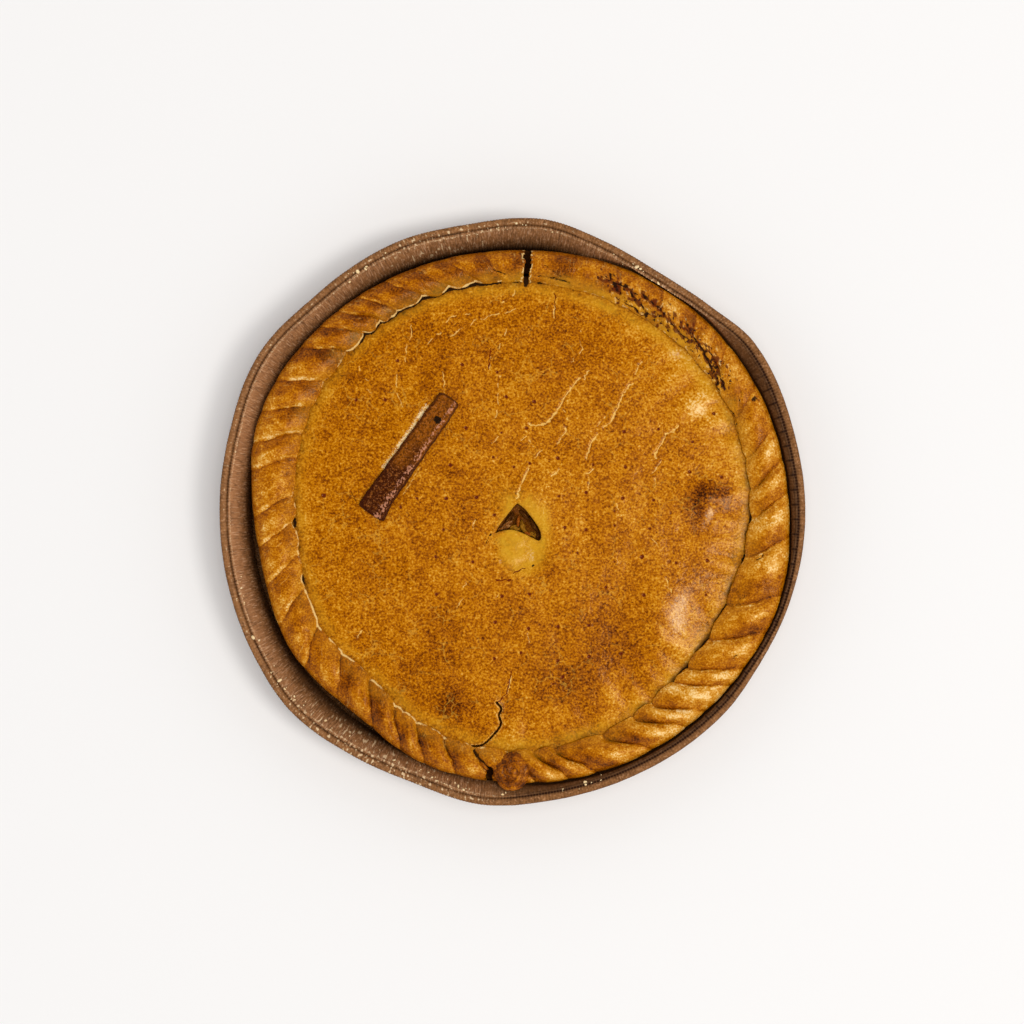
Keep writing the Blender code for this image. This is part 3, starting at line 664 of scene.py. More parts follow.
# Rows of the rope's section, from the outer wall over its top to the seam: distance in from the edge, height,
# share of the slant, of the outer outline, of the folds' depth and of the scallops
ropeRows = (
    (7.2 * mm, 3.5 * mm, 0, 1, 0, 0),
    (4.6 * mm, 11.0 * mm, 0, 1, 0, 0),
    (2.0 * mm, 18.5 * mm, 0, 1, 0.08, 0),
    (0.4 * mm, 23.0 * mm, 0, 1, 0.12, 0),
    (0, 26.0 * mm, 0, 1, 0.18, 0),
    (1.8 * mm, 29.6 * mm, 0.10, 0.90, 0.35, 0),
    (5.5 * mm, 32.0 * mm, 0.28, 0.72, 0.85, 0),
    (9.5 * mm, 32.8 * mm, 0.48, 0.52, 1, 0),
    (14.0 * mm, 32.2 * mm, 0.70, 0.30, 1, 0),
    (17.7 * mm, 30.4 * mm, 0.90, 0.10, 0.8, 0.6),
    (19.6 * mm, 28.8 * mm, 1, 0, 0.5, 1),
    (20.3 * mm, 27.7 * mm, 1, 0, 0.3, 1),
    (20.0 * mm, 26.9 * mm, 1, 0, 0.15, 1),
)
wallOfPie = [(row[0], row[1]) for row in ropeRows[:5]]

# Brown greaseproof paper, pressed into fine flutes: dull, darker where it is greasy, worn pale on its crests
mouldPaper = mottledMaterial("brown_greaseproof_paper", {
    "roughness": 0.55,
    "gloss": 0.14,
    "sheen": "FFFFFF",
    "mottle": 7 * mm,
    "detail": 4.0,
    "dark": "623C1A",
    "light": "9A6A3E",
    "layers": (
        ((2.4 * mm, 0.46, 0.64), 0.55, "54341A"),
        ((1.3 * mm, 0.52, 0.68), 0.50, "BE8E66"),
        ((0.8 * mm, 0.54, 0.64), 0.50, "3E240E"),
        # painted light on the lit inner wall and beside the groove
        ("lit", 0.40, "B8845C"),
    ),
    # size, how far they are drawn out, where they fade in and are full, strength and colour
    "streaks": ((1.0 * mm, 5, 0.50, 0.72, 0.60, "3E2412"), (0.7 * mm, 6, 0.54, 0.72, 0.70, "CFA480")),
    "lastLayers": (
        # painted shade in the groove, the pleats and under the rolled outer edge
        ("groove", 0.85, "2E160A"),
        ("crest", 0.20, "B58458"),
        # pale scratches of wear, and a painted highlight beside the groove
        (("wearAndHighlight", 0.9 * mm, 0.30, 0.70), 0.85, "DCC098"),
        # painted shade deep in the mould, beside the pie
        ("deep", 0.64, "2A170A"),
    ),
    "relief": ((1.1 * mm, 0.10 * mm),),
})


def makeMould(look):
    # up the outside, over the flat fold and its groove, and down the inside. A row is radius, height, share
    # of the push, and how far the flutes move it outwards and up
    lipOut, lipIn = look["lipOut"], look["lipIn"]
    foot = look["floorRadius"]
    paper = look["paper"]
    top, under = look["bandTop"], look["bandFoot"]
    rim = look["radius"]
    outerWall = smoothRows([(foot + 2 * paper, 2 * paper, 0, 0.3, 0), (lipOut, under - paper, 1, 1, 0)], 4)
    innerWall = smoothRows([(lipIn - inwards, height, 1, 1, 0.2) for inwards, height in look["lean"]], 17)
    rows = [(0, 0, 0, 0, 0), (foot, 0, 0, 0, 0)]
    rows += [tuple(row) for row in outerWall]
    rows += [
        (rim - 1.2 * mm, under - 0.1 * mm, 0, 0, 1),
        (rim - 0.6 * mm, under, 0, 0, 1),
        (rim - 0.15 * mm, under + 0.5 * mm, 0, 0.4, 0.7),
        (rim, under + 1.2 * mm, 0, 0.6, 0.4),
        (rim - 0.15 * mm, top - 0.5 * mm, 0, 0.5, 0.6),
        (rim - 0.6 * mm, top - 0.05 * mm, 0, 0, 1),
        (rim - 1.6 * mm, top + 0.05 * mm, 0, 0, 1),
        (rim - 2.4 * mm, top + 0.05 * mm, 0.5, 0, 1),
        (rim - 3.1 * mm, top, 1, 0, 1),
        (rim - 3.5 * mm, top - 0.5 * mm, 1, 0, 0.8),
        (rim - 3.8 * mm, top - 1.1 * mm, 1, 0, 0.5),
        (rim - 4.1 * mm, top - 0.5 * mm, 1, 0, 0.6),
        (rim - 4.4 * mm, top, 1, 0.5, 0.8),
        (lipOut - 0.5 * mm, top + 0.1 * mm, 1, 0.5, 0.8),
    ]
    rows += [tuple(row) for row in innerWall]
    rows += [(0.125, paper, 0, 0, 0), (0, paper, 0, 0, 0)]
    grooveRow = 2 + len(outerWall) + 10
    firstInner = 2 + len(outerWall) + 13

    mesh = rolledMesh("mould", rows, look["steps"])
    spun = pointsOf(mesh)
    row = layerOf(mesh, "row", np.int32)
    radius, height, pushed, out, up = np.array(rows).T[:, row]
    bearing = bearingOf(spun[:, 0], spun[:, 1])
    climb = np.minimum(1.0, height / look["height"])
    pushes = (look["pressed"], look["pushed"])
    press = sum(push * bell(angleOff(bearing, middle), width) for middle, width, push in pushes)
    bend = rimAt(bearing) - rim + pushed * press
    inner = (row >= firstInner) & (row < len(rows) - 2)
    upright = foot + paper + climb * (lipIn - foot - paper)
    side = np.interp(height, [z for _, z in wallOfPie], [inwards for inwards, _ in wallOfPie])
    touching = edgeAt(bearing) - side + look["clearance"] - climb * bend
    radius = np.where(inner, np.minimum(upright, np.maximum(radius, touching)), radius)

    # the flutes, deeper here and shallower there, and the pleats where the lip is folded over at the right
    around = placed(bearing, look["radius"], 0.0)
    rightSide = step(40, 60, bearing) * (1 - step(172, 186, bearing))
    strength = (0.75 + 0.55 * bumps(around, 14 * mm, 3.1)) * (1 - 0.8 * rightSide)
    flute = np.cos(np.radians(bearing) * look["flutes"]) * strength * look["fluteDepth"]
    pleatZone = step(56, 66, bearing) * (1 - step(132, 150, bearing))
    pleat = bell((bearing % 3) - 1.5, 0.26) * pleatZone * 0.6 * mm
    ripple = 0.5 * mm * bumps(around, 26 * mm, 7.7) + 0.25 * mm * bumps(around, 6 * mm, 1.3)
    radius = radius + climb * bend + out * (flute + 0.5 * ripple) - pleat * inner * climb
    radius -= 0.6 * mm * rightSide * bell(row - grooveRow, 4)
    height = height + up * (0.55 * flute + 0.3 * ripple * (climb > 0.8))
    height -= pleat * (row > grooveRow) * (up > 0.1)

    crest = step(0.0, 1.0, np.cos(np.radians(bearing) * look["flutes"])) * (out + up > 0.2)
    wornZone = 0.8 * bell(angleOff(bearing, 211), 18) + 0.5 * bell(angleOff(bearing, 345), 14) + 0.25
    scratch = step(0.18, 0.55, bumps(np.stack((bearing / 0.5, row * 0.42, 0 * bearing), axis=-1), 1.0, 5.0))
    ring = bumps(np.stack((bearing / 7, 0 * row, 0 * row), axis=-1), 1.0, 9.0)
    groove = bell(row - grooveRow, 1.3 + 0.5 * rightSide) * (0.75 + 0.5 * ring + rightSide)
    secondGroove = 0.5 * bell(row - grooveRow - 5, 0.9) * step(0.1, 0.5, -ring)
    groove += secondGroove + 1.6 * pleat / mm * (row > grooveRow + 1)
    length = np.cumsum([0] + [math.dist(a[:2], b[:2]) for a, b in zip(rows, rows[1:])])
    besideGroove = bell(row - grooveRow - 3.5, 1.2) + 0.6 * bell(row - grooveRow + 3, 1.2)
    outermost = step(rim - 0.5 * mm, rim - 0.1 * mm, np.array([each[0] for each in rows])[row])
    marks = {
        "crest": crest,
        "wall": (row > grooveRow) * (1 - 0.8 * rightSide),
        # painted light
        "lit": (inner * step(0.018, 0.0285, height) + 0.7 * besideGroove) * (1 - rightSide)
        * (0.5 + 1.0 * bell(angleOff(bearing, 272), 38)),
        # scratches of wear, and a painted highlight beside the groove
        "wearAndHighlight": (scratch * wornZone + 0.5 * besideGroove * (1 - rightSide)) * (height > 0.012),
        # painted shade
        "groove": groove + 0.5 * outermost,
        # painted shade deep in the mould
        "deep": np.clip(inner * step(0.0282, 0.013, height) + 0.85 * rightSide * (row > grooveRow + 1), 0, 1)
        * (1 - 0.5 * bell(angleOff(bearing, 265), 38)),
    }
    points = placed(bearing, radius, height)
    skin = placed(bearing, rim, length[row])
    return finishPiece(mesh, points, mouldPaper, marks, "paper_mould", skin)


makeMould(mould)

rope = {
    "rows": 68,
    "pushed": mould["pushed"],
    "rise": 2.4 * mm,  # each fold rises over this width at its start, and falls off slowly from there
    "fall": (0.75, 1.5),
    "crease": 0.5 * mm,
    # depth of the folds, and of the scallops at the seam
    "depth": (
        (3.5, 0.8 * mm), (40, 0.9 * mm), (62, 2.2 * mm), (90, 3.0 * mm), (120, 3.2 * mm), (150, 3.8 * mm),
        (170, 4.0 * mm), (200, 3.2 * mm), (235, 2.1 * mm), (262, 2.0 * mm), (290, 2.8 * mm), (312, 2.6 * mm),
        (345, 1.5 * mm),
    ),
    # how round the folds are, from a blade's edge to a bolster
    "plump": (
        (3.5, 0.3), (62, 0.5), (95, 0.75), (150, 0.85), (176, 0.8), (200, 0.6), (235, 0.5), (262, 0.45),
        (300, 0.5), (345, 0.3),
    ),
    "scallop": (
        (3.5, 0.1 * mm), (60, 0.3 * mm), (92, 0.8 * mm), (120, 1.2 * mm), (160, 1.3 * mm), (200, 0.7 * mm),
        (240, 0.7 * mm),
        (290, 0.7 * mm), (318, 1.7 * mm), (335, 1.3 * mm), (350, 0.6 * mm),
    ),
    # places where its edge has come away from the lid: bearing, half width in degrees, and width
    "lifted": (
        (1.2, 1.2, 0.5 * mm), (7.0, 1.0, 0.8 * mm), (92.0, 1.8, 1.1 * mm), (101.5, 1.6, 0.9 * mm),
        (116, 2.4, 1.1 * mm), (125, 1.8, 1.1 * mm), (133, 2.5, 0.9 * mm), (200, 1.5, 0.4 * mm),
        (208.6, 0.6, 0.7 * mm), (252.3, 1.6, 1.2 * mm),
        (260.4, 0.8, 0.8 * mm), (267.3, 1.5, 1.4 * mm), (320.6, 0.7, 0.9 * mm), (324.2, 1.1, 1.0 * mm),
        (328, 0.8, 0.6 * mm), (332.6, 1.6, 1.0 * mm), (338, 2.0, 1.5 * mm), (344.6, 1.8, 1.5 * mm),
        (350.5, 2.6, 1.3 * mm),
    ),
    "tone": (
        (3.5, -0.02), (30, 0.02), (60, 0.06), (90, 0.17), (112, 0.06), (136, 0.25), (158, 0.12), (186, 0.07),
        (206, -0.02), (230, 0.02), (262, 0.06), (284, 0.08), (314, 0.0), (340, -0.02),
    ),
    # how far the egg wash is missing towards the seam, where the dough stays yellow
    "raw": (
        (3, 0.9), (22, 1.0), (50, 1.0), (70, 0.5), (100, 0.25), (150, 0.2), (176, 0.4), (195, 0.3),
        (240, 0.3), (300, 0.25), (340, 0.6),
    ),
    # cracks where filling has boiled over at the seam: width, then bearing and radius in millimetres
    "fissures": (
        (0.8, (22.2, 131.5), (23.4, 128.5), (24.6, 126.0), (26.2, 124.0)),
        (0.6, (22.6, 127.8), (25.0, 128.6), (27.5, 128.4), (29.8, 128.2)),
        (0.9, (30.4, 129.6), (32.6, 128.8), (34.6, 128.6), (36.4, 128.0)),
        (0.6, (28.6, 127.0), (30.4, 125.0), (32.6, 123.6), (35.0, 122.2)),
        (0.7, (36.4, 128.0), (38.5, 126.6), (41.0, 125.6), (44.0, 125.2), (47.0, 126.6)),
        (0.6, (42.0, 132.6), (43.6, 130.6), (45.2, 129.0)),
        (0.6, (41.0, 125.8), (42.8, 128.6), (45.2, 129.0)),
        (0.9, (43.4, 130.6), (46.0, 128.6), (48.6, 127.6), (50.4, 127.0)),
        (0.8, (50.4, 127.0), (53.0, 125.6), (55.2, 124.2), (58.0, 123.6)),
        (0.6, (50.6, 130.2), (53.0, 129.0), (55.0, 127.6), (57.4, 126.4), (60.2, 125.4)),
        (0.5, (57.0, 123.6), (60.0, 122.6), (63.0, 122.2), (66.0, 123.4), (70.0, 122.6), (76.0, 121.0)),
        (0.4, (62.0, 133.0), (64.0, 129.6), (66.5, 126.0)),
        (0.4, (26.0, 121.5), (28.0, 120.8), (31.0, 121.6), (33.5, 120.6)),
    ),
    # splits in the dough: width, then bearing and radius in millimetres
    "splits": (
        (0.8, (189.6, 121.0), (188.0, 124.6), (186.6, 128.2), (185.4, 131.6)),
        (0.35, (99.5, 130.0), (100.5, 128.4), (101.0, 126.6)), (0.4, (109.5, 125.6), (111.0, 123.8)),
        (0.35, (122.2, 136.6), (123.6, 135.8)), (0.35, (6.5, 120.6), (9.0, 121.2), (14.0, 120.6)),
        (0.35, (7.2, 128.0), (10.2, 124.0), (12.5, 122.4)), (0.3, (355.5, 124.0), (358.5, 121.4)),
    ),
    # burnt dots strewn along the crumbly stretch: how many, then the bearing and radius of their middle line
    "dots": 190,
    "dotLine": (
        (19, 130), (22.3, 128.5), (26.9, 126), (31, 125), (36, 124.5), (41, 126), (46, 128), (50.2, 128),
        (54.6, 126.5), (60, 125.2),
    ),
    "seed": 11,
    "burntFrom": 19,  # bearings where the burnt dots and crumbs start and end
    "burntTo": 61,
    "footInset": 9.6 * mm,
    "dishRadius": 0.1275,  # the dough dish's inner wall, and how high it reaches
    "dishTop": 19 * mm,
    # the rope's lower face: distance out from the seam, and height
    "underside": ((0.5 * mm, 27.2 * mm), (4.8 * mm, 27.3 * mm)),
    "secondWidth": 1.3 * mm,  # of the shallow second crease in some folds, and the depth it is drawn for
    "secondDepth": 2.6 * mm,
    # how pale the start of each fold is, and how wide that is
    "pale": (
        (3, 0.4), (60, 0.45), (100, 0.6), (150, 0.9), (175, 0.8), (200, 0.7), (235, 0.75), (275, 1.0),
        (300, 1.1), (330, 0.9),
    ),
    "paleWidth": (
        (3, 0.6 * mm), (60, 0.8 * mm), (150, 1.0 * mm), (200, 1.3 * mm), (245, 2.2 * mm), (290, 2.4 * mm),
        (312, 1.2 * mm),
    ),
    "brown": (
        (3, 0.5), (30, 0.45), (60, 0.3), (90, 0.3), (130, 0.5), (160, 0.9), (186, 0.7), (215, 0.5),
        (250, 0.3), (280, 0.35), (300, 0.6), (335, 0.65),
    ),
    "cream": (
        (3, 0.6), (30, 0.2), (60, 0.15), (100, 0.4), (145, 0.4), (170, 0.3), (195, 0.9), (240, 1.0),
        (268, 0.7), (285, 0.4), (305, 0.6), (325, 1.0), (350, 1.0),
    ),
    # burnt blisters: bearing, radius and size in millimetres
    "blisters": (
        (65.0, 137.0, 1.9), (26.7, 129.8, 1.7), (22.6, 132.2, 1.2), (24.2, 127.4, 1.5), (34.2, 121.9, 1.5),
        (32.1, 124.4, 1.2), (36.6, 122.2, 1.0), (30.2, 125.2, 1.1), (35.4, 128.6, 1.4), (32.1, 129.4, 1.3),
        (28.5, 122.6, 0.9), (46.5, 137.0, 0.7), (58.8, 125.4, 1.3), (54.6, 126.8, 1.3), (50.4, 128.6, 1.0),
        (18.5, 132.0, 0.6), (20.4, 127.4, 0.8), (46.5, 128.4, 0.9),
    ),
}
ropeDepthAt = roundCurve(rope["depth"])
plumpAt = roundCurve(rope["plump"])
ropeRawAt = roundCurve(rope["raw"])
scallopAt = roundCurve(rope["scallop"])
toneAt = roundCurve(rope["tone"])
paleAt = roundCurve(rope["pale"])
paleWidthAt = roundCurve(rope["paleWidth"])
brownAt = roundCurve(rope["brown"])
creamAt = roundCurve(rope["cream"])


def foldAt(share):
    # the fold, where in it a point lies, and its bearing, for a share of the way round
    starts = np.array(crust["folds"], float)
    ends = np.append(starts[1:], starts[0] + 360)
    position = share * len(starts)
    number = np.minimum((position + 1e-6).astype(int), len(starts) - 1)
    part = np.maximum(0.0, position - number)
    part = part - crust["crowding"] * np.sin(math.tau * part) / math.tau
    return number, part, starts[number] + part * (ends - starts)[number], (ends - starts)[number]


def wallAt(bearing, height):
    # the largest radius that stays clear of the mould's inner face
    low = (mould["floorRadius"] + mould["paper"], 3 * mould["paper"])
    climb = np.clip((height - low[1]) / (mould["height"] - low[1]), 0, 1)
    even = low[0] + climb * (mould["lipIn"] - low[0]) - (1 - climb) * mould["paper"]
    pushes = (mould["pressed"], mould["pushed"])
    press = sum(push * bell(angleOff(bearing, middle), width) for middle, width, push in pushes)
    bend = rimAt(bearing) - mould["radius"] + press
    return even + np.minimum(1.0, height / mould["height"]) * bend - 0.6 * mm


def liftedAt(bearing):
    return sum(width * bell(angleOff(bearing, middle), half) for middle, half, width in rope["lifted"])


def swellAt(bearing):
    # how far the fold at this bearing bulges over the seam, from 0 to 1
    starts = np.array(crust["folds"], float)
    starts = starts + slantAt(starts)
    starts = np.append(starts, starts[0] + 360)
    turned = (bearing - starts[0]) % 360 + starts[0]
    k = np.clip(np.searchsorted(starts, turned, side="right") - 1, 0, len(starts) - 2)
    return np.abs(np.sin(math.pi * (turned - starts[k]) / (starts[k + 1] - starts[k]))) ** crust["roundness"]


def makeCrust(look):
    rim = crust["edgeRadius"]
    outside = [(rim - row[0], *row[1:]) for row in smoothRows(ropeRows, look["rows"])]
    rows = [(0, crust["foot"], 0, 1, 0, 0), (rim - look["footInset"], crust["foot"], 0, 1, 0, 0)]
    rows += outside
    seamInset = max(row[0] for row in ropeRows)
    firstUnder = len(rows)
    under = look["underside"]
    rows += [
        (crust["seamRadius"] + under[0][0], under[0][1], 1, 0, 0, 1),
        (crust["seamRadius"] + under[1][0], under[1][1], 1, 0, 0, 0),
        (look["dishRadius"], look["dishTop"], 1, 1, 0, 0),
        (look["dishRadius"], crust["floor"], 1, 1, 0, 0),
        (0, crust["floor"], 1, 1, 0, 0),
    ]
    steps = len(crust["folds"]) * crust["columns"]
    mesh = rolledMesh("rope_crust", rows, steps)
    spun = pointsOf(mesh)
    row = layerOf(mesh, "row", np.int32)
    radius, height, slanted, outward, folding, scalloped = np.array(rows).T[:, row]
    share = (np.round(bearingOf(spun[:, 0], spun[:, 1]) / 360 * steps) % steps) / steps
    number, part, bearing, width = foldAt(share)

    # each fold and each groove has a depth, a roundness and a rise of its own
    draw = np.random.default_rng(look["seed"])
    count = len(crust["folds"])
    grooveScale = draw.uniform(0.75, 1.3, count)
    grooveScale = np.append(grooveScale, grooveScale[0])
    secondAt = draw.uniform(0.3, 0.7, count)
    secondDepth = draw.uniform(-0.3, 0.5, count).clip(0) * mm
    scale = grooveScale[number] * (1 - part) + grooveScale[number + 1] * part
    swell = np.abs(np.sin(math.pi * part)) ** crust["roundness"]
    arc = math.pi / 180 * rim * width
    off = np.minimum(part, 1 - part) * arc
    fallen, power = look["fall"]
    rise = 1 - np.exp(-((part * arc / look["rise"]) ** 2))
    blade = 1 - rise * (1 - fallen * part ** power) + (1 - fallen) * bell((1 - part) * arc, look["crease"])
    bolster = 1 - np.sin(math.pi * part ** 0.8) ** 0.75
    plump = plumpAt(bearing)
    profile = (1 - plump) * blade + plump * bolster
    lift = 0.5 * crust["unevenness"] * np.sin(crust["rhythm"] * number)
    depth = ropeDepthAt(bearing) * scale * profile - lift * swell
    second = bell((part - secondAt[number]) * arc, look["secondWidth"])
    depth += secondDepth[number] * ropeDepthAt(bearing) / look["secondDepth"] * second
    depth = depth * folding
    fromSeam = np.maximum(0, radius - rim + seamInset)

    foldBearing = bearing
    bearing = bearing + slantAt(bearing) * slanted
    middle, span, push = look["pushed"]
    bend = outward * (edgeAt(bearing) - rim + push * bell(angleOff(bearing, middle), span))
    bend += (1 - outward) * (seamAt(bearing) - crust["seamRadius"])
    even = placed(bearing, radius + bend, height)
    wander = 0.55 * bumps(even, 11 * mm, 60.0) + 0.25 * bumps(even, 4 * mm, 61.0)
    bearing = bearing + np.minimum(1, 2 * folding) * wander
    even = placed(bearing, radius + bend, height)
    wrinkles = 0.30 * mm * bumps(even, 9 * mm, 2.0) + 0.12 * mm * bumps(even, 3.2 * mm, 9.0)
    depth = depth + np.minimum(1, 2 * folding) * wrinkles

    # the crumbly stretch, where filling has boiled over at the seam
    upper = row < firstUnder
    crumbly = step(14, 24, bearing) * (1 - step(56, 66, bearing)) * step(0.15, 0.40, slanted) * upper
    spotX, spotY = even[:, 0], even[:, 1]
    jag = 0.8 * mm * bumps(even, 2.2 * mm, 40.0)
    rough = bumps(even, 2.5 * mm, 43.0)
    pitted = bumps(even, 1.6 * mm, 41.0)

    def alongRoutes(routes):
        best = np.zeros(len(row))
        for size, *route in routes:
            corners = [placed(turn, reach * mm, 0.0)[:2] for turn, reach in route]
            away = distanceTo(corners, spotX + jag, spotY - jag)
            best = np.maximum(best, bell(away, size * mm * (0.95 + 0.9 * rough)))
        return best * upper

    def atSpots(spots):
        best = np.zeros(len(row))
        for turn, reach, size in spots:
            middle = placed(turn, reach * mm, 0.0)
            away = np.hypot(spotX - middle[0], spotY - middle[1])
            best = np.maximum(best, bell(away, size * mm * (0.9 + 0.5 * pitted)))
        return best * upper

    fissure = alongRoutes(look["fissures"]) * (0.35 + 0.65 * step(-0.20, 0.15, bumps(even, 1.9 * mm, 45.0)))
    split = alongRoutes(look["splits"])
    turns = draw.uniform(look["burntFrom"], look["burntTo"], look["dots"])
    reaches = np.interp(turns, *zip(*look["dotLine"])) + draw.normal(0, 2.4, look["dots"])
    sizes = 0.35 + 0.75 * draw.random(look["dots"]) ** 2
    dots = list(zip(turns, reaches, sizes))
    blister = atSpots(look["blisters"] + tuple(dots[::3]))
    redDots = atSpots(dots)
    lumps = bumps(even, 3.4 * mm, 4.0)
    depth = depth + 1.2 * mm * (fissure + split) + 0.5 * mm * blister
    depth -= crumbly * (0.8 * mm * lumps + 0.5 * jag)

    heartRadius, heartHeight = crust["heart"]
    inX, inZ = heartRadius - radius, heartHeight - height
    length = np.hypot(inX, inZ) + 1e-9
    edgeJag = 0.35 * mm * bumps(even, 2.6 * mm, 19.0) + 0.5 * mm * bumps(even, 8 * mm, 23.0)
    edgeJag -= liftedAt(bearing)
    radius = radius + depth * inX / length + bend - scalloped * (scallopAt(bearing) * swell + edgeJag)
    height = height + depth * inZ / length
    pole = np.array([point[0] for point in rows])[row] == 0
    radius = np.where(pole, 0, np.minimum(radius, wallAt(bearing, height)))

    # the two places where the rope is broken
    slot = np.zeros(len(radius))
    torn = np.zeros(len(radius))
    for gap in crust["gaps"]:
        across = radius * np.sin(np.radians(angleOff(bearing, gap["bearing"])))
        along = np.clip((radius - gap["inner"]) / (gap["outer"] - gap["inner"]), 0, 1)
        ragged = gap["width"] / 2 * (gap["taper"][0] * (1 - along) + gap["taper"][1] * along)
        ragged = ragged * (1 + 0.5 * bumps(even, 3 * mm, 8.0) + 0.3 * pitted)
        there = (np.abs(angleOff(bearing, gap["bearing"])) < 20) & (row < firstUnder + 2)
        there &= (radius > gap["inner"]) & (radius < gap["outer"])
        inside = there & (np.abs(across) < ragged)
        height = np.where(inside, np.minimum(height, gap["floor"]), height)
        slot = np.maximum(slot, inside)
        lip = bell(np.abs(across) - ragged - 0.3 * mm, 0.7 * mm) * step(-0.45, 0.2, pitted)
        torn = np.maximum(torn, gap["torn"] * there * lip * (1 - inside))

    points = placed(bearing, radius, height)
    patches = 0.5 + 0.5 * bumps(points, 7 * mm, 12.0)
    ragged = 1 + 0.6 * bumps(points, 2.5 * mm, 17.0)
    top = folding ** 0.5 * upper
    wander = 0.8 * mm * bumps(points, 5 * mm, 62.0)
    broken = 0.35 + 0.65 * step(-0.2, 0.25, bumps(points, 6 * mm, 63.0))
    start = bell(part * arc - 0.7 * mm - wander, 0.8 * paleWidthAt(bearing) * ragged) * (part < 0.5) * broken
    tips = bell(fromSeam - 0.3 * mm, 0.52 * mm * ragged) * (slanted > 0.8) * upper
    # painted highlight on each fold's crest
    glow = bell(part - 0.38, 0.16) * bell(slanted - 0.32, 0.20) * top * plump * (0.3 + patches)
    # painted shade along each fold's groove
    grooveShade = (bell(off, 0.8 * mm) + 0.6 * bell((1 - part) * arc, 2.2 * mm)) * top * plump
    speckled = 0.55 + 0.45 * step(-0.30, 0.25, bumps(points, 2.2 * mm, 67.0))
    # the far side of each fold, which the brown mark darkens as painted shade
    farSide = step(0.3, 0.75, part) * (1 - bell((1 - part) * arc, 0.7 * mm))
    towardsSeam = step(0.55, 0.95, slanted) * upper * (0.5 + 0.7 * bumps(points, 8 * mm, 64.0))
    singed = step(0.25, 0.5, bumps(points, 3.0 * mm, 44.0) + 0.5 * fissure)
    scorch = np.maximum(redDots, 0.8 * crumbly * singed)
    burnt = np.clip(np.maximum(blister, fissure), 0, 1)
    # painted shade in each groove's crease, in the slots where the rope is broken and in the splits
    shaded = 0.5 * bell(off, 0.35 * mm) * top * step(-0.1, 0.3, bumps(points, 6 * mm, 25.0))
    dark = slot + shaded + 0.85 * split
    bright = crumbly * step(0.05, 0.40, bumps(even, 1.7 * mm, 66.0))
    marks = {
        "pale": 0.42 * paleAt(bearing) * top * start * (0.3 + patches) + 0.36 * glow + toneAt(bearing)
        + 0.05 * crumbly,
        "brown": brownAt(bearing) * (0.32 * top * farSide + 0.07) * (0.3 + patches) * upper + 0.32 * grooveShade,
        "raw": np.clip(ropeRawAt(bearing) * towardsSeam + 0.5 * crumbly * (lumps > 0) * lumps, 0, 1),
        "cream": np.clip(
            creamAt(bearing) * tips * step(-0.35, 0.15, bumps(points, 6 * mm, 21.0) + 0.1) * speckled + torn
            + 0.55 * bright, 0, 1,
        ),
        "scorched": np.clip(scorch + 0.8 * bell(fissure - 0.5, 0.3) * crumbly, 0, 1),
        "burnt": burnt,
        "dark": dark,
        "matt": np.clip(burnt + dark + 0.6 * scorch + 0.3 * crumbly, 0, 1),
        "drawn": 1 - 0.85 * step(60, 80, bearing) * (1 - step(172, 186, bearing)),
    }
    skin = placed(foldBearing, rim, row * 0.4 * mm)
    return finishPiece(mesh, points, bakedRope, marks, "base_crust", skin)


makeCrust(rope)

rosette = {
    "bearing": 180,
    "distance": 0.1328,
    "radius": 0.0098,
    "foot": 0.0220,
    "waist": 0.0280,
    "top": 0.0334,
    "pitch": 0.0036,
    "ridge": 0.00030,
    "fall": 0.0030,
    "rings": 44,
    "steps": 120,
}


def makeRosette(look):
    # the rope's end, curled up like a snail
    rings = np.linspace(0, look["radius"], look["rings"])
    rows = [(0, look["foot"], 0), (look["radius"] / 2, look["foot"], 0), (look["radius"], look["waist"], 0)]
    rows += [(ring, look["top"], 1) for ring in rings[::-1]]
    mesh = rolledMesh("rope_end", rows, look["steps"])
    spun = pointsOf(mesh)
    row = layerOf(mesh, "row", np.int32)
    radius, height, upper = np.array(rows).T[:, row]
    share = bearingOf(spun[:, 0], spun[:, 1]) / 360
    flat = placed(share * 360, radius, 0.0)
    spiral = radius / look["pitch"] - share
    spiral += 0.28 * bumps(flat, 3.2 * mm, 14.0)
    spiral += 0.10 * bumps(flat, 1.2 * mm, 15.0)
    ridge = np.abs(np.cos(math.pi * spiral)) ** 0.7 * 2 - 1
    inner = step(0.0, 0.0012, radius)
    fall = look["fall"] * (radius / look["radius"]) ** 3.5
    even = placed(share * 360, radius, height)
    lumps = 0.45 * mm * bumps(even, 4 * mm, 3.0)
    height = height + upper * (look["ridge"] * (ridge * inner + 1 - inner) - fall + lumps)
    radius = radius * (0.97 + 0.10 * bumps(placed(share * 360, 1.0, 0.0), 0.7, 2.0))
    points = placed(look["bearing"], look["distance"], 0.0) + placed(share * 360, radius, height)
    marks = {
        # painted highlight on the tops of the ridges
        "pale": 0.16 * step(-0.2, 0.8, ridge) * upper * (0.4 + 1.4 * bumps(even, 3 * mm, 6.0)),
        "brown": 0.24 + 0.25 * bumps(even, 5 * mm, 5.0) + 0.06 * step(0.75, 1.0, radius / look["radius"]),
        # painted shade between the ridges and under the rosette
        "dark": 0.35 * step(-0.80, -1.0, ridge) * upper * step(-0.2, 0.3, bumps(even, 4 * mm, 8.0))
        + (1 - upper),
    }
    skin = np.stack((radius * 3, share * 20 * mm, 0 * radius), axis=-1)
    return finishPiece(mesh, points, bakedRope, marks, skin=skin)


makeRosette(rosette)
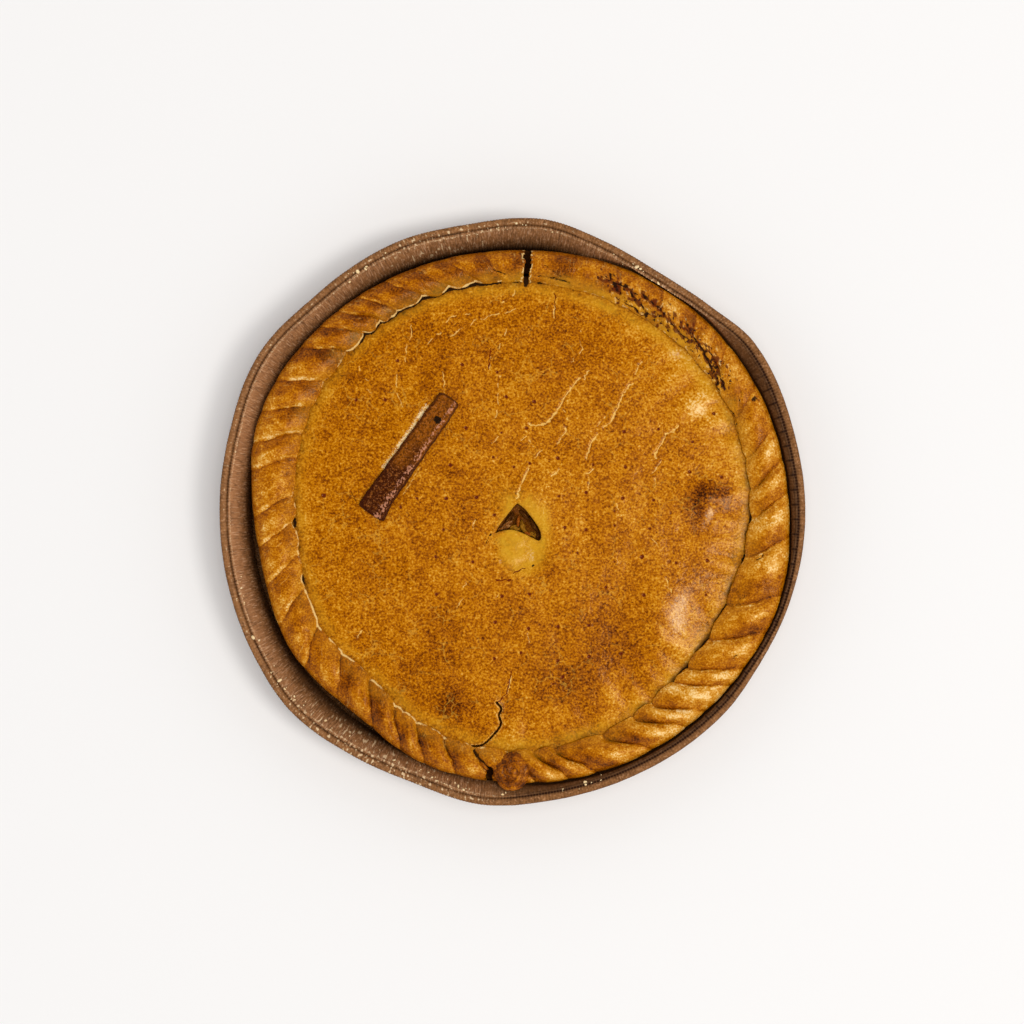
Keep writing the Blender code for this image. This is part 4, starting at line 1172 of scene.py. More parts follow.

# marks of the lid: x, y, reach along x and y in millimetres, and strength; some are painted light and shade
lidMarks = {
    # paler dough, and painted light on slopes and swellings that face the lamp
    "pale": (
        (5, -13, 20, 19, 0.15), (7.5, -21, 3.5, 4.5, 0.5), (-6, -25.5, 1, 2, 0.5),
        (10.2, -25.6, 1.2, 1.6, 1.0), (15.5, -3, 2, 8, 0.5), (-14, 24, 14, 8, 0.15), (84, -57, 9, 17, 0.45),
        (90, 60, 16, 20, 0.35), (105, 25, 8, 22, 0.3), (108, -20, 6, 24, 0.3), (-6, -107, 4, 7, 0.5),
        (64, -98, 16, 6, 0.5), (15, 4, 14, 20, 0.2), (96, 52, 7, 5, 0.9), (83, 81, 7, 5, 1.0),
        (64, 94, 8, 4, 0.6), (22, -101, 8, 4, 0.4), (49, -92, 5, 4, 0.4), (101.5, 0.5, 4, 6, 0.75),
        (-20, -88, 18, 8, 0.15), (40, 20, 30, 30, 0.12), (115, 22, 6, 14, 0.45),
    ),
    # painted highlights
    "shine": (
        (85, -55, 7, 13, 0.62), (88, -44, 4, 5, 0.3), (101.5, -1, 3.0, 5, 0.62), (98, -8, 2.5, 5, 0.4),
        (8.5, -20, 4, 6, 0.40), (10.4, -24, 1.6, 2.6, 0.35), (-6, -25.5, 1.2, 1.8, 0.6), (15, 2, 3, 5, 0.3),
        (96, 52, 7, 5, 0.5), (84, 81, 6, 4, 0.5), (-6, -107, 3, 5, 0.2),
    ),
    "raw": (
        (4, -20, 9, 8, 0.5), (15, 0, 5, 7, 0.3), (-2, 6, 6, 6, 0.4),
    ),
    # browner dough, and painted shade beside the lit swelling at the lower right
    "brown": (
        (95.5, 4, 6.5, 9, 1.4), (102, 11, 9, 6, 1.4), (108, 7, 4, 4, 0.8), (-30.5, -98.5, 11, 9, 1.2),
        (-84, 67, 9, 10, 0.5),
        (0, -55, 12, 5, 0.3), (1.5, -45, 6, 8, 0.35), (-67.5, -63, 10, 6, 0.3), (-37, -58, 12, 7, 0.3),
        (-28, 20, 7, 4, 0.4), (-23, 6, 9, 16, 0.25), (112, 6, 4, 10, 0.2), (50, -66, 17, 20, 0.5),
        (28, -88, 18, 16, 0.7), (-42, -78, 20, 14, 0.3), (-50, 92, 26, 14, 0.25), (90, -30, 9, 9, 0.15),
        (109, -52, 3, 14, 0.5), (20, 80, 30, 16, 0.2), (28, -116, 22, 5, 0.6),
    ),
}

# painted shadow under the rope's edge, with some grease in it
oliveAt = roundCurve((
    (3, 0.3), (30, 0.2), (58, 0.4), (90, 0.9), (120, 1.1), (143, 0.9), (160, 0.4), (230, 0.15), (250, 0.5),
    (262, 0.2), (268, 0.5), (275, 0.4), (290, 0.5), (310, 0.4), (335, 0.9),
))
# where the seam stands open
gapAt = roundCurve((
    (0, 0.3), (8, 0), (100, 0), (116, 0.25), (134, 0.3), (150, 0), (300, 0), (314, 0), (320, 0.9),
    (326, 0.7), (334, 1.0), (346, 1.0), (354, 0.9),
))
# the dough that the rope shaded from the wash, yellow along the seam
lidRawAt = roundCurve((
    (3, 0.8), (28, 1.0), (55, 0.9), (90, 0.6), (120, 0.5), (150, 0.7), (176, 0.9), (200, 0.6), (225, 0.5),
    (262, 0.6), (300, 0.5), (340, 0.7),
))


def blots(spots, x, y):
    # what soft oval spots add up to: each has a middle, a reach along x and y in millimetres, and a strength
    total = 0
    for middleX, middleY, reachX, reachY, strength in spots:
        away = ((x / mm - middleX) / reachX) ** 2 + ((y / mm - middleY) / reachY) ** 2
        total = total + strength * np.exp(-away)
    return total


def makeLid(look):
    # a round sheet from a square grid, finest along its cracks, marks and vent
    bm = bmesh.new()
    underLayer = bm.verts.layers.float.new("under")
    turnLayer = bm.verts.layers.float.new("turn")
    bmesh.ops.create_grid(bm, x_segments=look["cells"], y_segments=look["cells"], size=1)
    square = np.array([vertex.co for vertex in bm.verts])
    u = square[:, 0] * np.sqrt(1 - square[:, 1] ** 2 / 2)
    v = square[:, 1] * np.sqrt(1 - square[:, 0] ** 2 / 2)
    reach = seamAt(bearingOf(u, v)) + look["lap"]
    for vertex, x, y in zip(bm.verts, u * reach, v * reach):
        vertex.co = (x, y, 0)

    ventLoop = look["vent"] + look["vent"][:1]

    def toDetail(x, y):
        best = np.minimum(distanceTo(look["crack"], x, y), distanceTo(ventLoop, x, y) - 0.8 * mm)
        best = np.minimum(best, nearest(look["pricks"], x, y) - look["prickRadius"])
        for route in look["fineCracks"] + look["wideCracks"] + look["creases"] + look["redLines"]:
            best = np.minimum(best, distanceTo(route, x, y))
        bySeam = np.abs(np.hypot(x, y) - seamAt(bearingOf(x, y)) - 0.3 * mm) + 0.2 * mm
        return np.minimum(best, bySeam)

    for near in look["detailReach"]:
        bm.verts.index_update()
        flat = np.array([vertex.co for vertex in bm.verts])
        close = toDetail(flat[:, 0], flat[:, 1]) < near
        edges = [edge for edge in bm.edges if close[edge.verts[0].index] and close[edge.verts[1].index]]
        bmesh.ops.subdivide_edges(bm, edges=edges, cuts=1, use_grid_fill=True)

    # the vent
    corners = [Vector((x, y, 0)) for x, y in look["vent"]]

    def inVent(point):
        turns = 0
        for a, b in zip(corners, corners[1:] + corners[:1]):
            if (a.y > point.y) != (b.y > point.y):
                turns += point.x < a.x + (point.y - a.y) * (b.x - a.x) / (b.y - a.y)
        return turns % 2 == 1

    local = [face for face in bm.faces if face.calc_center_median().length < look["ventCut"]]
    opened = [face for face in local if inVent(face.calc_center_median())]
    bmesh.ops.delete(bm, geom=opened, context="FACES")
    border = {vertex for edge in bm.edges if edge.is_boundary for vertex in edge.verts}
    ventBorder = [vertex for vertex in border if vertex.co.length < look["ventReach"]]
    ventBorder.sort(key=lambda vertex: vertex.index)
    for vertex in ventBorder:
        spots = []
        for a, b in zip(corners, corners[1:] + corners[:1]):
            t = max(0.0, min(1.0, (vertex.co - a).dot(b - a) / (b - a).length_squared))
            spots.append(a.lerp(b, t))
        vertex.co = min(spots, key=lambda spot: (spot - vertex.co).length)
    # vertices that share a corner of the vent become one, before the rings are drawn from them
    bmesh.ops.remove_doubles(bm, verts=ventBorder, dist=1e-5)
    border = [edge for edge in bm.edges if edge.is_boundary]
    ventEdges = [edge for edge in border if edge.verts[0].co.length < look["ventReach"]]
    outerEdges = [edge for edge in border if edge.verts[0].co.length >= look["ventReach"]]

    # the sheet's thickness, and its lower face in rings that widen from the vent to the outer edge
    def drawDown(edges, level):
        raised = bmesh.ops.extrude_edge_only(bm, edges=edges)["geom"]
        lowered = [item for item in raised if isinstance(item, bmesh.types.BMVert)]
        for vertex in lowered:
            vertex[underLayer] = level
        return lowered, [item for item in raised if isinstance(item, bmesh.types.BMEdge)]

    outerFoot = drawDown(outerEdges, 1.0)[1]
    ringEdges = ventEdges
    for level in look["wallLevels"]:
        ring, ringEdges = drawDown(ringEdges, level)
    eyeX, eyeY = look["ventEye"]
    for vertex in ring:
        vertex[turnLayer] = math.atan2(vertex.co.y - eyeY, vertex.co.x - eyeX)
    done = 0.0
    for part in look["underRings"]:
        ring, ringEdges = drawDown(ringEdges, 1.0)
        for vertex in ring:
            towards = Vector((math.cos(vertex[turnLayer]), math.sin(vertex[turnLayer]), 0))
            goal = towards * float(seamAt(bearingOf(towards.x, towards.y)) + look["lap"])
            vertex.co = vertex.co.lerp(goal, (part - done) / (1 - done))
        done = part
    bmesh.ops.triangle_fill(bm, use_beauty=True, normal=(0, 0, 1), edges=outerFoot + ringEdges)

    mesh = toMesh("lid_crust", bm)
    flat = pointsOf(mesh)
    under = layerOf(mesh, "under", np.float32).astype(float)
    x, y = flat[:, 0], flat[:, 1]
    top = under <= 0
    outwards = np.hypot(x, y) / seamAt(bearingOf(x, y))
    bentX = x + 0.8 * mm * bumps(flat, 3.5 * mm, 31.0) + 0.6 * mm * bumps(flat, 1.5 * mm, 32.0)
    bentY = y + 0.8 * mm * bumps(flat, 3.5 * mm, 33.0) + 0.6 * mm * bumps(flat, 1.5 * mm, 34.0)
    fine = np.min([distanceTo(route, bentX, bentY) for route in look["fineCracks"]], axis=0)
    wide = np.min([distanceTo(route, bentX, bentY) for route in look["wideCracks"]], axis=0)
    split = distanceTo(look["crack"], x, y)
    prick = nearest(look["pricks"], x, y)
    lip = distanceTo(ventLoop, x, y)
    ragged = 1 + 0.5 * bumps(flat, 1.6 * mm, 3.0)
    fineMark = bell(fine, look["fineWidth"] * ragged) * step(-0.35, 0.15, bumps(flat, 4 * mm, 35.0))
    wideMark = bell(wide, look["wideWidth"] * ragged)
    wideMark *= 0.55 + 0.45 * step(-0.25, 0.2, bumps(flat, 1.7 * mm, 36.0))
    openMark = step(1.0, 0.55, split / (look["crackWidth"] / 2 * (1.0 + 0.7 * bumps(flat, 1.6 * mm, 5.0))))
    prickMark = bell(prick, look["prickRadius"] * (0.90 + 0.6 * bumps(flat, 12 * mm, 37.0)))

    height = lidTop(x, y)
    height += (1 - np.minimum(1, outwards) ** 6) * (
        0.75 * mm * bumps(flat, 22 * mm, 1.0) + 0.22 * mm * bumps(flat, 7 * mm, 2.0)
    )
    height += 0.05 * mm * bumps(flat, 2.4 * mm, 4.0)
    height -= 0.5 * mm * bell(outwards - 1.0, 0.02) * top
    height += mm * blots(look["humps"], x, y)
    height -= 0.25 * mm * fineMark + 0.35 * mm * wideMark
    height += 0.12 * mm * bell(wide - 1.3 * mm, 0.5 * mm)
    height -= look["prickDepth"] * prickMark
    height += 0.12 * mm * bell(prick - 1.1 * mm, 0.4 * mm)
    height -= look["crackDepth"] * openMark
    height += 0.25 * mm * bell(split - 1.0 * mm, 0.5 * mm)
    height -= 0.6 * mm * bell(lip, 0.6 * mm)
    height += 0.4 * mm * bell(distanceTo(look["stripRidge"], x, y), 1.2 * mm)
    height -= look["thickness"] * under
    height = np.where(under >= 1, lidTop(x, y) - look["thickness"], height)

    bearing = bearingOf(x, y)
    # beside the places where the rope has come away, and at the gap that reaches the lid
    ajar = np.minimum(1.0, liftedAt(bearing) / mm)
    slot = 0
    for gap in crust["gaps"]:
        if gap["inner"] < crust["seamRadius"]:
            off = angleOff(bearing, gap["bearing"])
            ajar = np.maximum(ajar, bell(off, 0.7))
            slot = slot + step(0.66, 0.42, np.abs(off))
    slot = slot * step(0.972, 0.985, outwards)
    seamPale = bell(outwards - 0.965, 0.05) * (0.55 + 0.5 * bumps(flat, 9 * mm, 6.0))
    stripSide = distanceTo(look["stripSide"], x, y)
    stripLow = distanceTo(look["stripLow"], x, y)
    stripEnd = distanceTo(look["stripEnd"], x, y)
    crease = np.min([distanceTo(route, x, y) for route in look["creases"]], axis=0)
    redLine = bell(np.min([distanceTo(route, bentX, bentY) for route in look["redLines"]], axis=0), 0.38 * mm)
    hole = nearest(look["holes"], x, y)
    creamSpeck = 0.45 + 0.55 * step(-0.2, 0.2, bumps(flat, 1.0 * mm, 50.0))
    notches = 0.3 + 0.7 * step(-0.2, 0.35, bumps(flat, 7 * mm, 52.0))
    seamRaw = lidRawAt(bearing) * bell(outwards - 0.972, 0.028) * (0.55 + 0.6 * bumps(flat, 10 * mm, 53.0))
    haloX, haloY, haloWide, haloTall = look["halo"]
    halo = np.hypot((x - haloX * mm) / haloWide, (y - haloY * mm) / haloTall) / mm
    halo += 0.20 * bumps(flat, 4 * mm, 55.0)
    halo = step(1.30, 0.70, halo) * (0.85 + 0.5 * bumps(flat, 3.4 * mm, 56.0))
    # the shadow in the seam follows the rope's inner edge
    covered = scallopAt(bearing) * swellAt(bearing) - liftedAt(bearing)
    fromRope = seamAt(bearing) - 0.3 * mm - covered - np.hypot(x, y)
    shade = bell(np.maximum(0, fromRope), (1.8 + 0.7 * bumps(flat, 5 * mm, 57.0)) * mm)
    chasm = gapAt(bearing) * bell(np.maximum(0, fromRope), (0.75 + 0.5 * bumps(flat, 3 * mm, 58.0)) * mm)
    # soft folds that run in from the seam, with painted light on their raised parts
    drawn = bumps(np.stack((bearing / 4.4, np.hypot(x, y) / (26 * mm), 0 * x), axis=-1), 1.0, 59.0)
    drawn *= step(0.70, 0.92, outwards) * step(30, 60, bearing) * (1 - step(180, 196, bearing))
    cream = 0.7 * bell(stripLow, 0.5 * mm) + 0.6 * bell(stripEnd, 0.6 * mm) * creamSpeck
    cracked = fineMark + 1.2 * wideMark + 0.7 * bell(split - 0.9 * mm, 0.35 * mm) + cream
    # painted shade in the open crack, the lifted seam, the slot, the small holes and the open seam
    openings = openMark * top + 0.9 * ajar * bell(outwards - 1.002, 0.009) + slot
    openings += 1.2 * bell(hole, 0.75 * mm)
    openings += chasm
    marks = {
        "pale": 0.30 * blots(lidMarks["pale"], x, y) + 0.06 * seamPale + 0.14 * bell(stripSide, 2.0 * mm)
        + 0.16 * bell(prick - 1.7 * mm, 0.5 * mm) * step(-0.2, 0.3, bumps(flat, 1.5 * mm, 54.0))
        + 0.16 * bell(redLine - 0.3, 0.25) + 0.22 * drawn,
        "raw": np.clip(blots(lidMarks["raw"], x, y) + seamRaw + halo, 0, 1)
        * (0.8 + 0.4 * bumps(flat, 3 * mm, 51.0)),
        "chalk": (0.61 + 0.25 * bumps(flat, 3 * mm, 50.0)) * bell(stripSide, 2.5 * mm) * top,
        "shine": np.clip(blots(lidMarks["shine"], x, y), 0, 1) * top,
        "brown": 0.25 * blots(lidMarks["brown"], x, y) + 0.10 * prickMark + 0.12 * bell(lip, 0.7 * mm),
        "prick": np.clip(prickMark * 1.1 + 0.8 * redLine, 0, 1),
        "crack": np.clip(cracked * top, 0, 1),
        "dark": np.clip(openings + 0.6 * bell(crease, 0.42 * mm), 0, 1),
        "olive": np.clip((oliveAt(bearing) * notches + 0.6 * ajar) * shade, 0, 1) * top,
        "crumb": np.clip(under * 3, 0, 1),
        "matt": np.clip(openings + 0.5 * bell(outwards - 1.0, 0.012) + under * 3, 0, 1),
    }
    height += 0.9 * mm * drawn * top * (1 - step(0.97, 1.0, outwards))
    points = np.stack((x, y, height), axis=-1)
    return finishPiece(mesh, points, bakedLid, marks, "lid")


makeLid(lid)

strip = {
    "start": (-31.5 * mm, 58.4 * mm),
    "end": (-73.0 * mm, -0.4 * mm),
    "startWidth": 12.2 * mm,
    "endWidth": 14.4 * mm,
    "thickness": 2.6 * mm,
    "air": 0.4 * mm,
    "segments": 64,
    "lengths": 150,
    "corner": 1.8 * mm,
    "curl": 1.3 * mm,  # its lower end turns to the right
    "dip": 0.40,  # how far its middle is sunk, as a share of the thickness
    "blackSpot": (-38 * mm, 47 * mm, 2.1 * mm),  # x, y and size
}


# The same dough rolled out thin and brushed twice with egg: it bakes to a dark, glossy red-brown
stripDough = mottledMaterial("dark_glazed_dough", {
    "roughness": 0.34,
    "gloss": 0.24,
    "sheen": "FFC090",
    "mottle": 2.2 * mm,
    "detail": 5.0,
    "dark": "5E2600",
    "light": "A4600E",
    "layers": (
        ("lower", 0.95, "360E02"),
        ((1.5 * mm, 0.52, 0.66), 0.42, "A86222"),
        ((1.1 * mm, 0.47, 0.60), 0.70, "2E0C00"),
        ((0.8 * mm, 0.56, 0.66), 0.40, "B87440"),
        # painted shade along its sides and ends, with browning
        (("edgeBand", 0.9 * mm, 0.30, 0.80), 0.75, "300A02"),
        # painted highlight along its rounded right side
        (("glint", 0.62 * mm, 0.40, 0.70), 0.72, "D09070"),
        (("spot", 0.8 * mm, 0.40, 0.60), 0.97, "0C0806"),
    ),
    "relief": ((3.4 * mm, 0.9 * mm), (1.3 * mm, 0.30 * mm), (0.6 * mm, 0.10 * mm)),
})


def makeStrip(look):
    # a tube, flattened to a ribbon with round sides and a sunk middle
    bm = bmesh.new()
    bmesh.ops.create_cone(
        bm, cap_ends=True, cap_tris=False, segments=look["segments"], radius1=1, radius2=1, depth=1
    )
    bm.normal_update()
    caps = [face for face in bm.faces if abs(face.normal.z) > 0.9]
    long = [edge for edge in bm.edges if abs(edge.verts[0].co.z - edge.verts[1].co.z) > 0.5]
    bmesh.ops.subdivide_edges(bm, edges=long, cuts=look["lengths"])
    for _ in range(5):
        bmesh.ops.inset_region(bm, faces=caps, thickness=0.16, use_even_offset=False)
    bmesh.ops.poke(bm, faces=caps)
    mesh = toMesh("strip", bm)
    tube = pointsOf(mesh)
    reach = np.hypot(tube[:, 0], tube[:, 1])
    turn = np.arctan2(tube[:, 1], tube[:, 0])
    share = 0.5 - tube[:, 2]
    cap = np.abs(tube[:, 2]) > 0.4999
    sideways = np.sign(np.cos(turn)) * np.abs(np.cos(turn)) ** 0.55 * reach
    up = (np.sign(np.sin(turn)) * np.abs(np.sin(turn)) ** 0.6 * reach + 1) / 2
    start, end = np.array(look["start"]), np.array(look["end"])
    along = (end - start) / np.hypot(*(end - start))
    across = np.array((along[1], -along[0]))
    share = share + cap * (1 - reach) * 0.004 * np.sign(share - 0.5)
    width = look["startWidth"] + share * (look["endWidth"] - look["startWidth"])
    wobble = np.stack((share * 9, np.sign(sideways) * 2, 0 * share), axis=-1)
    half = width / 2 * (1 + 0.06 * bumps(wobble, 1.0, 3.0) + 0.05 * bumps(wobble, 0.3, 6.0))
    fromEnd = np.minimum(share, 1 - share) * math.dist(look["start"], look["end"])
    corner = np.clip(1 - fromEnd / look["corner"], 0, 1)
    half -= look["corner"] * (1 - np.sqrt(1 - corner ** 2))
    curl = look["curl"] * step(0.78, 1.0, share) ** 2 * (1 - sideways) / 2
    spot = start + np.outer(share, end - start) + np.outer(sideways * half - curl, across)
    uneven = bumps(np.stack((sideways * 2, share * 0, share * 0), axis=-1), 1.0, 4.0)
    spot += np.outer(0.5 * mm * uneven * np.clip(np.abs(share - 0.5) * 4 - 1.6, 0, 1), along)
    dip = look["dip"] * step(-0.66, -0.30, sideways) * (1 - 0.6 * bell(np.minimum(share, 1 - share), 0.02))
    grain = 0.10 * bumps(np.stack((share * 75, sideways * 7, up), axis=-1), 2.6, 2.0)
    grain += 0.07 * bumps(np.stack((share * 75, sideways * 7, up), axis=-1), 0.8, 7.0)
    endSlope = 1 - 0.25 * bell(np.minimum(share, 1 - share), 0.015)
    height = lidTop(spot[:, 0], spot[:, 1]) + look["air"]
    height += look["thickness"] * np.clip(up * endSlope * (1 - dip * (up > 0.5)) + grain * up, 0, 1.02)
    points = np.stack((spot[:, 0], spot[:, 1], height), axis=-1)
    blackX, blackY, blackSize = look["blackSpot"]
    black = np.hypot(spot[:, 0] - blackX, spot[:, 1] - blackY)
    speck = step(-0.15, 0.35, bumps(points, 1.0 * mm, 2.0))
    turning = 0.25 * bumps(np.stack((share * 8, sideways, up), axis=-1), 1.0, 1.0)
    shining = bell(sideways + 0.58, 0.24) + 0.5 * step(0.78, 0.92, share) * bell(sideways + 0.25, 0.3)
    marks = {
        "lower": step(0.30, 0.70, share + turning),
        # painted shade along its sides and ends, with browning
        "edgeBand": step(-0.78, -0.90, sideways) + 0.8 * step(0.60, 0.88, sideways) + 0.9 * bell(share, 0.018)
        + 0.8 * bell(1 - share, 0.03),
        # painted highlight
        "glint": shining * (up > 0.5) * (0.35 + 0.65 * speck) * (0.95 + 0.9 * bumps(points, 5 * mm, 9.0)),
        "spot": 1.3 * bell(black, blackSize),
    }
    return finishPiece(mesh, points, stripDough, marks, "dough_strip")


makeStrip(strip)

filling = {
    "steps": 96,
    "inset": 0.0108,
    "corner": 0.0015,
    "chamfer": 0.0175,
    "shoulder": 0.0225,
    "lap": 0.0020,
    "air": 0.0010,
    "vent": (0.0040, -0.0075),
    "hollow": 0.0028,
    "hollowReach": 0.0100,
    # pieces that show in the vent: name, x, y, top below the lid's lower face, length, width, height, turn
    # and bend
    "pieces": (
        ("tuna_flake_left", -3.9, -8.0, 0.3, 7.5, 2.2, 3.4, 22, 0.0),
        ("tuna_flake_upper", -2.2, -6.0, 0.5, 6.5, 2.0, 3.2, 34, 0.1),
        ("onion_dark_left", -1.4, -3.0, 0.9, 7.5, 2.0, 3.0, 55, 0.0),
        ("onion_dark_slot", 0.6, -2.2, 1.6, 5.0, 1.6, 3.0, 84, 0.0),
        ("onion_lower", 1.6, -8.4, 1.0, 6.0, 3.4, 3.4, -10, 0.1),
        ("pepper_piece", 3.3, -4.8, 0.3, 6.8, 1.8, 3.6, 84, 0.1),
        ("onion_slice", 6.2, -7.6, 0.1, 7.0, 2.6, 3.6, 108, 0.3),
        ("pepper_lower", 7.6, -10.6, 0.7, 5.0, 2.2, 3.0, 150, 0.1),
        ("onion_dark_upper", 6.4, -1.4, 0.5, 7.0, 2.2, 3.4, -48, 0.0),
        ("onion_dark_right", 11.4, -6.8, 0.4, 9.0, 2.6, 3.6, -60, 0.0),
        ("onion_low", 10.6, -12.0, 0.9, 5.0, 2.6, 3.0, -30, 0.2),
        ("onion_dark_corner", 13.8, -12.2, 0.9, 5.0, 2.6, 3.4, 80, 0.2),
    ),
}


# Onion and pepper stewed soft with tuna: wet, half clear, and stained with tomato and oil
fillingBase = {
    "roughness": 0.36, "gloss": 0.22, "sheen": "FFD8A8", "mottle": 1.5 * mm, "detail": 4.0,
    "relief": ((1.6 * mm, 0.6 * mm), (0.7 * mm, 0.3 * mm)),
}
sauceLook = mottledMaterial("stewed_filling", {
    **fillingBase, "dark": "3A1602", "light": "7E4408", "layers": (((1 * mm, 0.5, 0.7), 0.4, "A0701C"),)
})
tunaLook = mottledMaterial("tuna_flakes", {
    **fillingBase, "dark": "4E2206", "light": "96581A", "layers": (
        ((0.8 * mm, 0.5, 0.62), 0.6, "C4935C"), ((1.1 * mm, 0.52, 0.60), 0.7, "1E0C04"),
    ),
})
onionLook = mottledMaterial("soft_onion", {
    **fillingBase, "dark": "6A3C04", "light": "B07E1C", "layers": (
        ((1 * mm, 0.5, 0.7), 0.5, "5A2C04"), ((1.2 * mm, 0.54, 0.62), 0.7, "1E0C04"),
    ),
})
pepperLook = mottledMaterial("red_pepper", {
    **fillingBase, "dark": "6E3004", "light": "B4641A", "layers": (((1 * mm, 0.5, 0.7), 0.5, "4E1E02"),)
})
darkLook = mottledMaterial("browned_onion", {
    **fillingBase, "dark": "241204", "light": "5C3008", "layers": (((1 * mm, 0.52, 0.7), 0.5, "7A4E14"),)
})


def makeFilling(look):
    # the body of filling under the lid, lumpy where the vent shows it
    floor = crust["floor"] + 0.3 * mm
    inner = list(np.linspace(0.0, 0.16, 17)) + [0.2, 0.26, 0.34, 0.45, 0.6, 0.8, 1.0]
    rows = [(0, floor, 0), (0.99, floor, 0), (1, floor + look["corner"], 0), (1, look["chamfer"], 0)]
    rows += [(1, look["shoulder"], 1)] + [(part, 0.03, 2) for part in inner[::-1]]
    mesh = rolledMesh("filling_body", rows, look["steps"])
    spun = pointsOf(mesh)
    row = layerOf(mesh, "row", np.int32)
    part, height, kind = np.array(rows).T[:, row]
    bearing = bearingOf(spun[:, 0], spun[:, 1])
    vent = np.array((*look["vent"], 0.0))
    border = placed(bearing, seamAt(bearing) - lid["border"], 0.0)
    top = vent + (border - vent) * part[:, None]
    lumps = bumps(top, 2.6 * mm, 1.0) * 1.3 * mm + bumps(top, 1.1 * mm, 5.0) * 0.5 * mm
    off = np.hypot(top[:, 0] - vent[0], top[:, 1] - vent[1])
    top[:, 2] = lidTop(top[:, 0], top[:, 1]) - lid["thickness"] - look["air"]
    top[:, 2] -= look["hollow"] * bell(off, look["hollowReach"]) * (1.15 - lumps / (2 * mm))
    side = placed(bearing, part * (edgeAt(bearing) - look["inset"]), height)
    shoulder = placed(bearing, seamAt(bearing) + look["lap"], height)
    points = np.where(kind[:, None] == 0, side, np.where(kind[:, None] == 1, shoulder, top))
    finishPiece(mesh, points, sauceLook, {}, "filling")

    looks = {"tuna": tunaLook, "onion": onionLook, "pepper": pepperLook}
    for name, x, y, drop, length, width, tall, turn, bend in look["pieces"]:
        bm = bmesh.new()
        bmesh.ops.create_icosphere(bm, subdivisions=4, radius=0.5)
        mesh = toMesh(name, bm)
        ball = pointsOf(mesh)
        ball *= 1 + 0.30 * bumps(ball, 0.30, x)[:, None]
        ball[:, 1] += bend * (1 - 4 * ball[:, 0] ** 2)
        ball *= np.array((length, width, tall)) * mm
        angle = math.radians(turn)
        px = x * mm + ball[:, 0] * math.cos(angle) - ball[:, 1] * math.sin(angle)
        py = y * mm + ball[:, 0] * math.sin(angle) + ball[:, 1] * math.cos(angle)
        topHeight = lidTop(x * mm, y * mm) - lid["thickness"] - drop * mm
        points = np.stack((px, py, topHeight + ball[:, 2] - tall * mm / 2), axis=-1)
        piece = darkLook if "dark" in name else looks[name.split("_")[0]]
        finishPiece(mesh, points, piece, {})


makeFilling(filling)


def scatter(name, material, spots, seed):
    # small uneven crumbs: each spot is a place and a size
    draw = np.random.default_rng(seed)
    bm = bmesh.new()
    for (x, y, z), size in spots:
        turn = Matrix.Rotation(draw.uniform(0, math.tau), 4, "Z")
        turn = turn @ Matrix.Rotation(draw.uniform(0, 1.2), 4, "X")
        stretch = Matrix.Diagonal((size, size * draw.uniform(0.5, 0.9), size * draw.uniform(0.3, 0.6), 1))
        matrix = Matrix.Translation((x, y, z)) @ turn @ stretch
        bmesh.ops.create_icosphere(bm, subdivisions=2, radius=0.5, matrix=matrix)
    mesh = toMesh(name, bm)
    points = pointsOf(mesh)
    points += 0.12 * mm * np.stack([bumps(points, 0.5 * mm, shift) for shift in (1.0, 4.0, 8.0)], axis=-1)
    return finishPiece(mesh, points, material, {})


crumbs = {
    "burntCount": 150,
    "fleckCount": 80,
    # bearing, spread, and how far in from the rim
    "fleckZones": (
        (2, 4, 4), (28, 5, 4), (164, 5, 4), (192, 7, 6), (198, 6, 7), (218, 9, 8), (234, 3, 6), (251, 4, 6),
        (330, 5, 4),
    ),
    "seed": 23,
}


# Dry crumbs of crust: dull and uneven
dryCrumb = {
    "roughness": 0.6, "gloss": 0.2, "sheen": "FFFFFF", "mottle": 1.5 * mm, "detail": 3.0, "layers": (),
    "relief": ((0.6 * mm, 0.1 * mm),),
}
burntLook = mottledMaterial("burnt_crust", {**dryCrumb, "dark": "1C0904", "light": "5A2410"})
paleLook = mottledMaterial("pale_crumbs", {**dryCrumb, "dark": "D8B070", "light": "FFF0C8"})


def makeCrumbs(look):
    draw = np.random.default_rng(look["seed"])
    spots = []
    for number in range(look["burntCount"]):
        bearing = draw.uniform(19, 60)
        share = draw.beta(1.6, 2.2)
        inner, outer = float(seamAt(bearing)), float(edgeAt(bearing))
        radius = inner + 0.5 * mm + share * (outer - inner) * 0.6
        # about as high as the rope is there
        height = 28.5 * mm + 4.1 * mm * math.sin(min(1.0, share * 0.6 / 0.5) * math.pi / 2)
        spots.append((placed(bearing, radius, height), draw.uniform(0.5, 1.5) * mm))
    scatter("burnt_crumbs", burntLook, spots, look["seed"])
    spots = []
    for number in range(look["fleckCount"]):
        middle, spread, inwards = look["fleckZones"][number % len(look["fleckZones"])]
        bearing = middle + draw.normal(0, spread)
        inwards = np.clip(inwards * mm + draw.normal(0, 1.2) * mm, 2 * mm, 9 * mm)
        lip = mould["radius"] - mould["lipIn"]
        level = np.interp(inwards - lip, *zip(*mould["lean"]))
        radius = float(rimAt(bearing)) - inwards
        spots.append((placed(bearing, radius, level + 0.1 * mm), (0.7 + 2.0 * draw.random() ** 3) * mm))
    scatter("mould_flecks", paleLook, spots, look["seed"] + 1)


makeCrumbs(crumbs)

